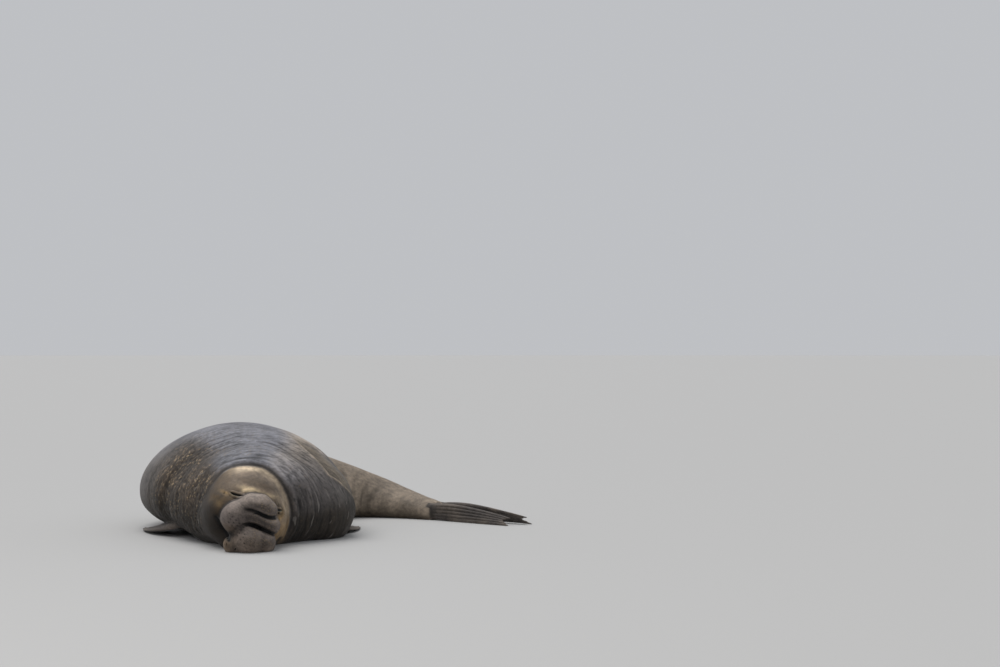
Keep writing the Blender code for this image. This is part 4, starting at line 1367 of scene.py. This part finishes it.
def hideMaterial(name, furDeep):
    # the painted colour, mottled and flecked, with arcs of fine creases and the nap of the fur
    hide = Material(name, 0.62)
    split = hide.add("SeparateColor", {"Color": hide.attribute("marks", "Color")})
    flecked, wet, arcs = split["Red"], split["Green"], split["Blue"]
    lie = hide.attribute("lie", "Vector")
    wide = hide.noise(hide.place, 5.5, 5)
    mottle = hide.noise(hide.place, 34, 5, 0.65)
    nap = hide.noise(hide.place, 240, 3, 0.7)
    creases = hide.noise(hide.stretch(lie, (3.2, 46.0, 0.0)), 1.0, 4, 0.6)
    tone = hide.plus(
        hide.spread(wide, 0.25, 0.75, (0.75, 1.18)),
        hide.spread(mottle, 0.25, 0.75, (-0.31, 0.31)),
        hide.spread(nap, 0.2, 0.8, (-0.10, 0.10)),
        # the arcs of fine creases are darkened too: painted shade in them
        hide.times(hide.spread(creases, 0.54, 0.36, (0, -0.42)), arcs),
    )
    painted = hide.attribute("hide", "Color")
    toned = hide.add("VectorMath", {0: painted, "Scale": tone}, operation="SCALE")[0]
    # tan flecks in rows along the arcs, where old hide has flaked
    cells = hide.add("TexVoronoi", {"Vector": hide.stretch(lie, (24.0, 72.0, 20.0)), "Scale": 1.0})
    uneven = hide.add("SeparateColor", {"Color": cells["Color"]})["Red"]
    mottled = hide.spread(mottle, 0.3, 0.7, (-0.10, 0.10))
    spots = hide.spread(hide.plus(cells["Distance"], hide.times(uneven, 0.30), mottled), 0.56, 0.40)
    rows = hide.spread(creases, 0.42, 0.54)
    patches = hide.spread(hide.noise(hide.place, 11, 3), 0.40, 0.55)
    colour = hide.mix(hide.times(spots, rows, patches, flecked, 0.85), toned, hideColours["fleck"])
    # long pale scratches across the neck
    turned = {"Vector": hide.place, "Rotation": (0.4, 0.5, 0.9), "Scale": (2.2, 60.0, 9.0)}
    across = hide.noise(hide.add("Mapping", turned)[0], 1.0, 2, 0.4)
    scratch = hide.times(hide.spread(across, 0.69, 0.73), arcs, 0.35)
    colour = hide.mix(scratch, colour, hideColours["scratch"])
    # the bumps: nap, mottling, creases and a fine crackle
    crackle = hide.add("TexVoronoi", {"Vector": hide.place, "Scale": 310.0}, feature="DISTANCE_TO_EDGE")
    height = hide.plus(
        hide.times(nap, furDeep),
        hide.times(mottle, 1.2),
        hide.times(creases, arcs, 6.0),
        hide.spread(crackle["Distance"], 0.0, 0.15, (0, 0.12)),
    )
    bump = hide.add("Bump", {"Strength": 0.75, "Distance": 0.0022, "Height": height})[0]
    roughness = hide.plus(hide.spread(mottle, 0.2, 0.8, (0.56, 0.74)), hide.times(wet, -0.36))
    hide.shade({"Base Color": colour, "Roughness": roughness, "Normal": bump})
    hide.shade({"Sheen Weight": 0.06, "Sheen Roughness": 0.45, "Specular IOR Level": 0.26})
    return hide.data


def grainMaterial(name, roughness, *grain):
    material = Material(name, roughness)
    material.shade({"Base Color": material.grain(*grain)})
    return material.data


limbMarks = limbPoints(skin.data)[0].astype(float)
paintSkin(skin.data)
hideOfSkin = hideMaterial("hide", 0.9)
skin.data.materials.clear()
skin.data.materials.append(hideOfSkin)
writeAll(skin.data.polygons, "material_index", np.zeros(len(skin.data.polygons)), np.int32)
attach(skin, "root")
fleshNodes = [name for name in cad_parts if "eye" not in name and "claw" not in name]
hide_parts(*fleshNodes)
print("skin painted")

# The eyeballs, dark and wet behind the lids
eyeball = {"radius": 0.0340, "sunk": 0.0436, "rings": 40, "sides": 48}


def ballMesh(name, centre, axes):
    # a sphere whose pole looks out between the lids
    rise = np.linspace(0, math.pi, eyeball["rings"] + 1)[1:-1, None]
    turn = anglesRound(eyeball["sides"])
    unitPoints = [np.sin(rise) * np.cos(turn), np.cos(rise) + 0 * turn, np.sin(rise) * np.sin(turn)]
    level = np.stack(unitPoints, axis=-1).reshape(-1, 3)
    level = np.concatenate([level, [[0, 1, 0], [0, -1, 0]]])
    points = centre + eyeball["radius"] * level @ axes
    sides, rings = eyeball["sides"], eyeball["rings"] - 1
    faces, index, following = ringFaces(rings, sides)
    faces += fanFaces(index[0], following[0], rings * sides)
    faces += fanFaces(following[-1], index[-1], rings * sides + 1)
    mesh = bareMesh(name, points, faces)
    mesh.shade_smooth()
    putColours(mesh, "iris", np.clip(np.stack([level[:, 1]] * 3, axis=-1), 0, 1))
    return mesh


def fromHead(local):
    # head coordinates to the scene's
    return local @ headAxes + headOrigin - planCentre


def eyeMaterial():
    # nearly black all over, a little brown towards the sides, under a wet film
    material = Material("eyeball", 0.08)
    iris = material.grain(420, 3, 0.3, 0.7, (0.005, 0.0035, 0.0025), (0.012, 0.008, 0.005))
    front = material.spread(material.attribute("iris", "Fac"), 0.55, 0.95)
    colour = material.mix(front, iris, (0.002, 0.002, 0.002))
    material.shade({"Base Color": colour, "Specular IOR Level": 0.14})
    material.shade({"Coat Weight": 0.05, "Coat Roughness": 0.02})
    return material.data


eyeFinish = eyeMaterial()
for side, eye in eyes.items():
    centre = fromHead(eye["spot"] - eyeball["sunk"] * eye["axes"][1])
    ball = newObject("eyeball_" + side, ballMesh("eyeball_" + side, centre, eye["axes"] @ headAxes))
    ball.data.materials.append(eyeFinish)
    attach(ball, "root")
    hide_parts("eye_" + side)
print("eyes made")

# Whiskers: dark follicles on the trunk's two pads and the brows, and a bent tapering hair from each
whisker = {
    "padLong": (0.009, 0.022), "browLong": (0.014, 0.028), "thick": 0.0005, "sides": 5, "steps": 7, "sunk": 0.0062,
    "stray": 0.25, "outward": 0.75, "along": 0.65, "sag": 0.18, "clearOfGround": 0.002,
}
# Follicles: low round knobs with their foot under the hide, and the heights of rim and top above the foot
follicle = {"wide": 0.0024, "sides": 10, "sunk": 0.0068, "rimHigh": 0.0016, "topHigh": 0.0021}
browSpots = {
    "right": (
        (-0.096, 0.056), (-0.088, 0.064), (-0.080, 0.056), (-0.091, 0.047), (-0.074, 0.066), (-0.103, 0.063),
        (-0.083, 0.072), (-0.070, 0.057),
    ),
    "left": ((0.088, 0.054), (0.097, 0.058), (0.104, 0.052)),
}


def tubeFaces(rings, sides):
    # faces of a tube that is closed at its root and comes to a point
    faces, index, following = ringFaces(rings, sides)
    return [index[0].tolist()] + faces + fanFaces(index[-1], following[-1], rings * sides)


def hairPoints(root, outward, along, long, random):
    # sets out along the hide's normal, then bends over along the hide and down by its own weight
    share = np.linspace(0, 1, whisker["steps"] + 1)[:, None]
    bend = unit(along + whisker["stray"] * random.normal(size=3))
    path = root + long * (share * outward * whisker["outward"] + share**1.6 * bend * whisker["along"])
    path[:, 2] = path[:, 2] - whisker["sag"] * long * share[:, 0] ** 2
    # lifted straight up where it would come too near the ground
    lowest = whisker["clearOfGround"] - path @ headAxes[:, 2] - headOrigin[2]
    path = path + np.clip(lowest, 0, None)[:, None] * headAxes[:, 2]
    way = unit(np.gradient(path, axis=0))
    first = unit(np.cross(way, outward + np.array([0.1, 0.2, 0.05])))
    second = np.cross(way, first)
    turn = anglesRound(whisker["sides"])
    thick = whisker["thick"] * (1 - share[:-1]) ** 0.6
    offset = first[:-1, None] * np.cos(turn)[:, None] + second[:-1, None] * np.sin(turn)[:, None]
    rings = path[:-1, None] + thick[:, None] * offset
    return np.concatenate([rings.reshape(-1, 3), path[-1:]])


def folliclePoints(spot, axes, size):
    turn = anglesRound(follicle["sides"])
    flat = np.cos(turn)[:, None] * axes[0] + np.sin(turn)[:, None] * axes[2]
    base = spot - follicle["sunk"] * axes[1]
    rim = base + 0.6 * size * flat + follicle["rimHigh"] * axes[1]
    return np.concatenate([base + size * flat, rim, [base + follicle["topHigh"] * axes[1]]])


def makeWhiskers():
    # a hair and a follicle at every spot, both in the scene's coordinates
    random = np.random.default_rng(5)
    spots = [("pad", side, place) for side, place in padPlaces]
    for side, places in browSpots.items():
        spots += [("brow", side, facing(*at, skullDistance)) for at in places]
    hairs, follicles = [], []
    for kind, side, (spot, axes) in spots:
        sideways = -1 if side == "right" else 1
        outward = unit(axes[1] + 0.12 * random.normal(size=3))
        along = np.array([0.9 * sideways, -0.2, -0.25] if kind == "pad" else [0.5 * sideways, 0.3, 0.4])
        long = random.uniform(*whisker[kind + "Long"])
        root = spot - whisker["sunk"] * axes[1]
        hairs.append(fromHead(hairPoints(root, outward, along, long, random)))
        size = follicle["wide"] * random.uniform(0.7, 1.2)
        follicles.append(fromHead(folliclePoints(spot, axes, size)))
    return hairs, follicles


def manyMesh(name, groups, faces):
    # one mesh of many groups of points that all share the same faces
    size = len(groups[0])
    allFaces = [[corner + number * size for corner in face] for number in range(len(groups)) for face in faces]
    mesh = bareMesh(name, np.concatenate(groups), allFaces)
    mesh.shade_smooth()
    return mesh


hairs, follicles = makeWhiskers()
whiskers = newObject("whiskers", manyMesh("whiskers", hairs, tubeFaces(whisker["steps"], whisker["sides"])))
hairColours = (0.030, 0.022, 0.016), (0.110, 0.085, 0.060)
whiskers.data.materials.append(grainMaterial("whiskers", 0.35, 30, 2, 0.35, 0.65, *hairColours))
folliclesPiece = newObject("follicles", manyMesh("follicles", follicles, tubeFaces(2, follicle["sides"])))
follicleColours = (0.026, 0.020, 0.017), (0.055, 0.044, 0.038)
folliclesPiece.data.materials.append(grainMaterial("follicles", 0.5, 500, 2, 0.3, 0.7, *follicleColours))
for piece in (whiskers, folliclesPiece):
    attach(piece, "root")
print("whiskers made")

# Claws at the ends of the front flippers' digits
clawShape = {
    "long": 0.038, "half": 0.0066, "thick": 0.006, "sink": 0.006, "sides": 16, "rings": 12, "hook": 0.12,
    "clearOfGround": 0.001,
}


def clawPoints(tip, ahead):
    # a tapered cone with a hooked, flattened end
    share = np.linspace(0, 1, clawShape["rings"] + 1)[:-1, None]
    turn = anglesRound(clawShape["sides"])
    half = clawShape["half"] * (1 - share) ** 0.62 * (1 + 0.02 * np.sin(30 * share))
    across = half * np.cos(turn)
    drop = clawShape["hook"] * clawShape["long"]
    upward = np.minimum(half, clawShape["thick"]) * np.sin(turn) - drop * share**2
    forward = clawShape["long"] * share + 0 * across
    shape = np.stack([across, forward, upward], axis=-1).reshape(-1, 3)
    shape = np.concatenate([shape, [[0, clawShape["long"], -drop]]])
    axes = np.array([[ahead[1], -ahead[0], 0], ahead, [0, 0, 1.0]])
    return tip - clawShape["sink"] * ahead + shape @ axes - planCentre


def makeClaws():
    # one at the middle of each digit's end, held above the ground
    groups = []
    for name in ("foreflipper_left", "foreflipper_right"):
        upper, lower = flipperSurface(name)
        for digit in range(5):
            column = round((0.9 - 0.2 * digit) * flipperShapes["columns"])
            tip = (upper[-1, column] + lower[-1, column]) / 2
            tip[2] = max(tip[2], clawShape["thick"] + clawShape["clearOfGround"])
            ahead = upper[-1, column] - upper[-3, column]
            ahead[2] = 0
            groups.append(clawPoints(tip, unit(ahead)))
    return groups


claws = newObject("claws", manyMesh("claws", makeClaws(), tubeFaces(clawShape["rings"], clawShape["sides"])))
clawColours = (0.016, 0.012, 0.010), (0.060, 0.046, 0.036)
claws.data.materials.append(grainMaterial("claw", 0.32, 160, 4, 0.3, 0.7, *clawColours))
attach(claws, "root")
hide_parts(*[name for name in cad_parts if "claw" in name])
print("claws made")

# The coat: short flat tufts, four faces each, that overlap like scales and follow the lie of the fur
coat = {
    "tufts": 290000, "pieces": 6, "bodyLong": 0.0110, "faceLong": 0.0060, "trunkLong": 0.0038, "flipperLong": 0.0065,
    "wide": 0.30, "lift": 0.0009, "keel": 0.0005, "sunk": 0.0006, "clearOfGround": 0.014, "patch": 0.0015,
    "stray": 0.13, "keelAt": 0.12, "shorterInBends": 0.55, "longSpread": (0.75, 1.25), "wideSpread": (0.8, 1.2),
    "liftSpread": (0.5, 1.5), "toneSpread": (0.90, 1.12), "tones": (0.92, 0.92, 1.0, 1.10),
    "moreOnFace": 2.0, "moreOnFlippers": 1.2, "lessUnder": 0.8, "wettest": 0.25,
}


def lieOfFur(points, local, onLimb):
    # backward along the spine and a little down; outward from the nose on the head; along the flippers
    along, _, _ = bodyPlace(points)
    _, _, _, _, hx, hy = spineAt(along)
    way = np.stack([hx, hy, np.full(len(points), -0.30)], axis=-1)
    fromNose = unit(local - np.array(headSpots["nose"])) @ headAxes
    near = 1 - smoothStep(0.30, 0.75, lengthOf(local))
    way = way + (fromNose - way) * near[:, None]
    nearest = np.full(len(points), 9.0)
    for line in flipperLines.values():
        start, end = np.array(line[0]), np.array(line[2])
        t = np.clip((points - start) @ (end - start) / ((end - start) @ (end - start)), 0, 1)
        away = lengthOf(points - start - t[:, None] * (end - start))
        chosen = (onLimb > 0.5) & (away < nearest)
        nearest = np.where(chosen, away, nearest)
        way[chosen] = unit(end - start)
    return way


def readLayer(mesh, name, kind, width):
    return readAll(mesh.attributes[name].data, kind, width, np.float32)


def plantTufts(mesh):
    # roots spread evenly over the hide's faces, denser on the face and the flippers
    random = np.random.default_rng(11)
    mesh.calc_loop_triangles()
    corners = readAll(mesh.loop_triangles, "vertices", 3, np.int32)
    loops = readAll(mesh.loop_triangles, "loops", 3, np.int32)
    points, normals = readPoints(mesh) + planCentre, readNormals(mesh)
    middle = points[corners].mean(axis=1)
    edges = points[corners[:, 1:]] - points[corners[:, :1]]
    area = lengthOf(np.cross(edges[:, 0], edges[:, 1])) / 2
    onLimb = limbMarks[corners].mean(axis=1)
    facial = 1 - smoothStep(0.30, 0.42, fromSpot(inHead(middle), "face"))
    under = smoothStep(-0.2, -0.7, normals[corners].mean(axis=1)[:, 2])
    wanted = area * (1 + coat["moreOnFace"] * facial + coat["moreOnFlippers"] * onLimb)
    wanted = wanted * (1 - coat["lessUnder"] * under)
    wanted *= middle[:, 2] > coat["clearOfGround"]
    chosen = random.choice(len(area), coat["tufts"], p=wanted / wanted.sum())
    share = random.dirichlet((1, 1, 1), coat["tufts"])[:, :, None]

    def at(values):
        return (values[corners[chosen]] * share).sum(axis=1)

    sheet = readAll(mesh.uv_layers["OFBake"].uv, "vector", 2, np.float32)
    placed = (sheet[loops[chosen]] * share).sum(axis=1)
    marks = readLayer(mesh, "marks", "color", 4)[:, :3]
    hide = readLayer(mesh, "hide", "color", 4)[:, :3]
    lie, bend = readLayer(mesh, "lie", "vector", 3), readLayer(mesh, "bend", "value", 1)
    tufts = {
        "root": at(points), "up": unit(at(normals)), "hide": at(hide), "marks": at(marks),
        "lie": lie[corners[chosen, 0]], "sheet": placed, "facial": facial[chosen], "onLimb": onLimb[chosen],
        "bend": bend[corners[chosen]].mean(axis=1), "onTrunk": trunkShare(inHead(middle[chosen])),
    }
    keep = (tufts["marks"][:, 1] < coat["wettest"]) & (tufts["root"][:, 2] > coat["clearOfGround"])
    keep &= lengthOf(tufts["up"]) > 0.5
    return {name: values[keep] for name, values in tufts.items()}, random


def tuftPoints(tufts, random):
    # a flat blade: two points at its root, a low keel between them, and one lifted tip
    root, up = tufts["root"], tufts["up"]
    count = len(root)
    way = lieOfFur(root, inHead(root), tufts["onLimb"])
    way = way + coat["stray"] * random.normal(size=(count, 3))
    way = unit(way - (way * up).sum(axis=-1)[:, None] * up)
    across = np.cross(way, up)
    long = coat["bodyLong"] + (coat["faceLong"] - coat["bodyLong"]) * tufts["facial"]
    long = long + (coat["trunkLong"] - long) * tufts["onTrunk"]
    long = long + (coat["flipperLong"] - long) * tufts["onLimb"]
    long = long * (1 - coat["shorterInBends"] * tufts["bend"])
    long = (long * random.uniform(*coat["longSpread"], count))[:, None]
    wide = coat["wide"] * long * random.uniform(*coat["wideSpread"], count)[:, None]
    size = long / coat["bodyLong"]
    left = root - coat["sunk"] * up - wide / 2 * across
    right = root - coat["sunk"] * up + wide / 2 * across
    keel = root + coat["keel"] * size * up + coat["keelAt"] * long * way
    tip = root + long * way + coat["lift"] * size * up * random.uniform(*coat["liftSpread"], count)[:, None]
    return np.stack([left, right, keel, tip], axis=1)


def tuftMesh(name, points, tufts, random):
    # four triangles a tuft, lit with the hide's own normals so that the coat lies smooth
    count = len(points)
    pattern = np.array([0, 3, 1, 0, 2, 3, 1, 3, 2, 0, 1, 2])
    corner = (pattern + 4 * np.arange(count)[:, None]).ravel()
    mesh = bpy.data.meshes.new(name)
    mesh.vertices.add(4 * count)
    mesh.loops.add(12 * count)
    mesh.polygons.add(4 * count)
    writeAll(mesh.vertices, "co", points - planCentre)
    writeAll(mesh.loops, "vertex_index", corner, np.int32)
    writeAll(mesh.polygons, "loop_start", 3 * np.arange(4 * count), np.int32)
    writeAll(mesh.polygons, "use_smooth", np.ones(4 * count), bool)
    mesh.update(calc_edges=True)
    shape = coat["patch"] * np.array([[-1, -1], [1, -1], [0, -0.4], [0, 1]])
    placed = (tufts["sheet"][:, None] + shape).reshape(-1, 2)
    putSheet(mesh, placed[corner])
    tone = random.uniform(*coat["toneSpread"], count)[:, None] * np.array(coat["tones"])
    colours = np.clip(tufts["hide"][:, None] * tone[..., None], 0.003, 1)
    putColours(mesh, "hide", colours.reshape(-1, 3))
    putColours(mesh, "marks", np.repeat(tufts["marks"], 4, axis=0))
    putLie(mesh, np.repeat(tufts["lie"], 4, axis=0))
    mesh.normals_split_custom_set_from_vertices(np.repeat(tufts["up"], 4, axis=0).astype(np.float32))
    return mesh


def growCoat():
    # the tufts in even shares, one piece for each
    tufts, random = plantTufts(skin.data)
    points = tuftPoints(tufts, random)
    for number, share in enumerate(np.array_split(np.arange(len(points)), coat["pieces"])):
        name = f"coat_{number + 1}"
        part = {key: values[share] for key, values in tufts.items()}
        piece = newObject(name, tuftMesh(name, points[share], part, random))
        piece.data.materials.append(hideOfCoat)
        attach(piece, "root")


hideOfCoat = hideMaterial("fur", 0.3)
growCoat()
print("coat grown")

# The stage: a plain pale floor under a soft sky, a hazy sun overhead and a weak lamp in front
floor = {"radius": 400.0, "sides": 96, "drop": 0.0004, "colour": (0.46, 0.46, 0.455)}
sky = {"colour": (0.94, 0.96, 1.00, 1), "strength": 0.55}
sun = {"strength": 1.9, "wide": 50, "tilt": (-16, -17, 0), "colour": (1.0, 0.98, 0.96)}
lamp = {
    "place": (-3.5, -8.0, 4.0), "target": (0, -0.8, 0.3), "size": 4.0, "power": 60, "colour": (1.0, 0.96, 0.92),
}
turns = anglesRound(floor["sides"])
rim = np.stack([floor["radius"] * np.cos(turns), floor["radius"] * np.sin(turns), 0 * turns], axis=-1)
ground = newObject("floor", bareMesh("floor", rim, [list(range(floor["sides"]))]))
ground.location.z = -floor["drop"]
ground.data.materials.append(Material("floor", 0.85, floor["colour"]).data)

world = bpy.data.worlds.new("sky")
world.use_nodes = True
world.node_tree.nodes["Background"].inputs["Color"].default_value = sky["colour"]
world.node_tree.nodes["Background"].inputs["Strength"].default_value = sky["strength"]
bpy.context.scene.world = world

overhead = newObject("overhead", bpy.data.lights.new("overhead", "SUN"))
overhead.data.energy, overhead.data.color = sun["strength"], sun["colour"]
overhead.data.angle = math.radians(sun["wide"])
overhead.rotation_euler = [math.radians(angle) for angle in sun["tilt"]]
front = newObject("front", bpy.data.lights.new("front", "AREA"))
front.data.shape, front.data.size = "DISK", lamp["size"]
front.data.energy, front.data.color = lamp["power"], lamp["colour"]
front.location = lamp["place"]
front.rotation_euler = (Vector(lamp["target"]) - Vector(lamp["place"])).to_track_quat("-Z", "Y").to_euler()

# The photo's camera
photo = {"place": (1.1147, -12.0959, 1.2), "lens": 65.016, "sensor": 36.0, "pitch": 16.5 / 1806}
camera = newObject("camera", bpy.data.cameras.new("camera"))
camera.data.lens, camera.data.sensor_width = photo["lens"], photo["sensor"]
camera.data.clip_end = 1000
camera.location = photo["place"]
camera.rotation_euler = (math.pi / 2 + math.atan(photo["pitch"]), 0, 0)
bpy.context.scene.camera = camera
bpy.context.scene.view_settings.view_transform = "Standard"
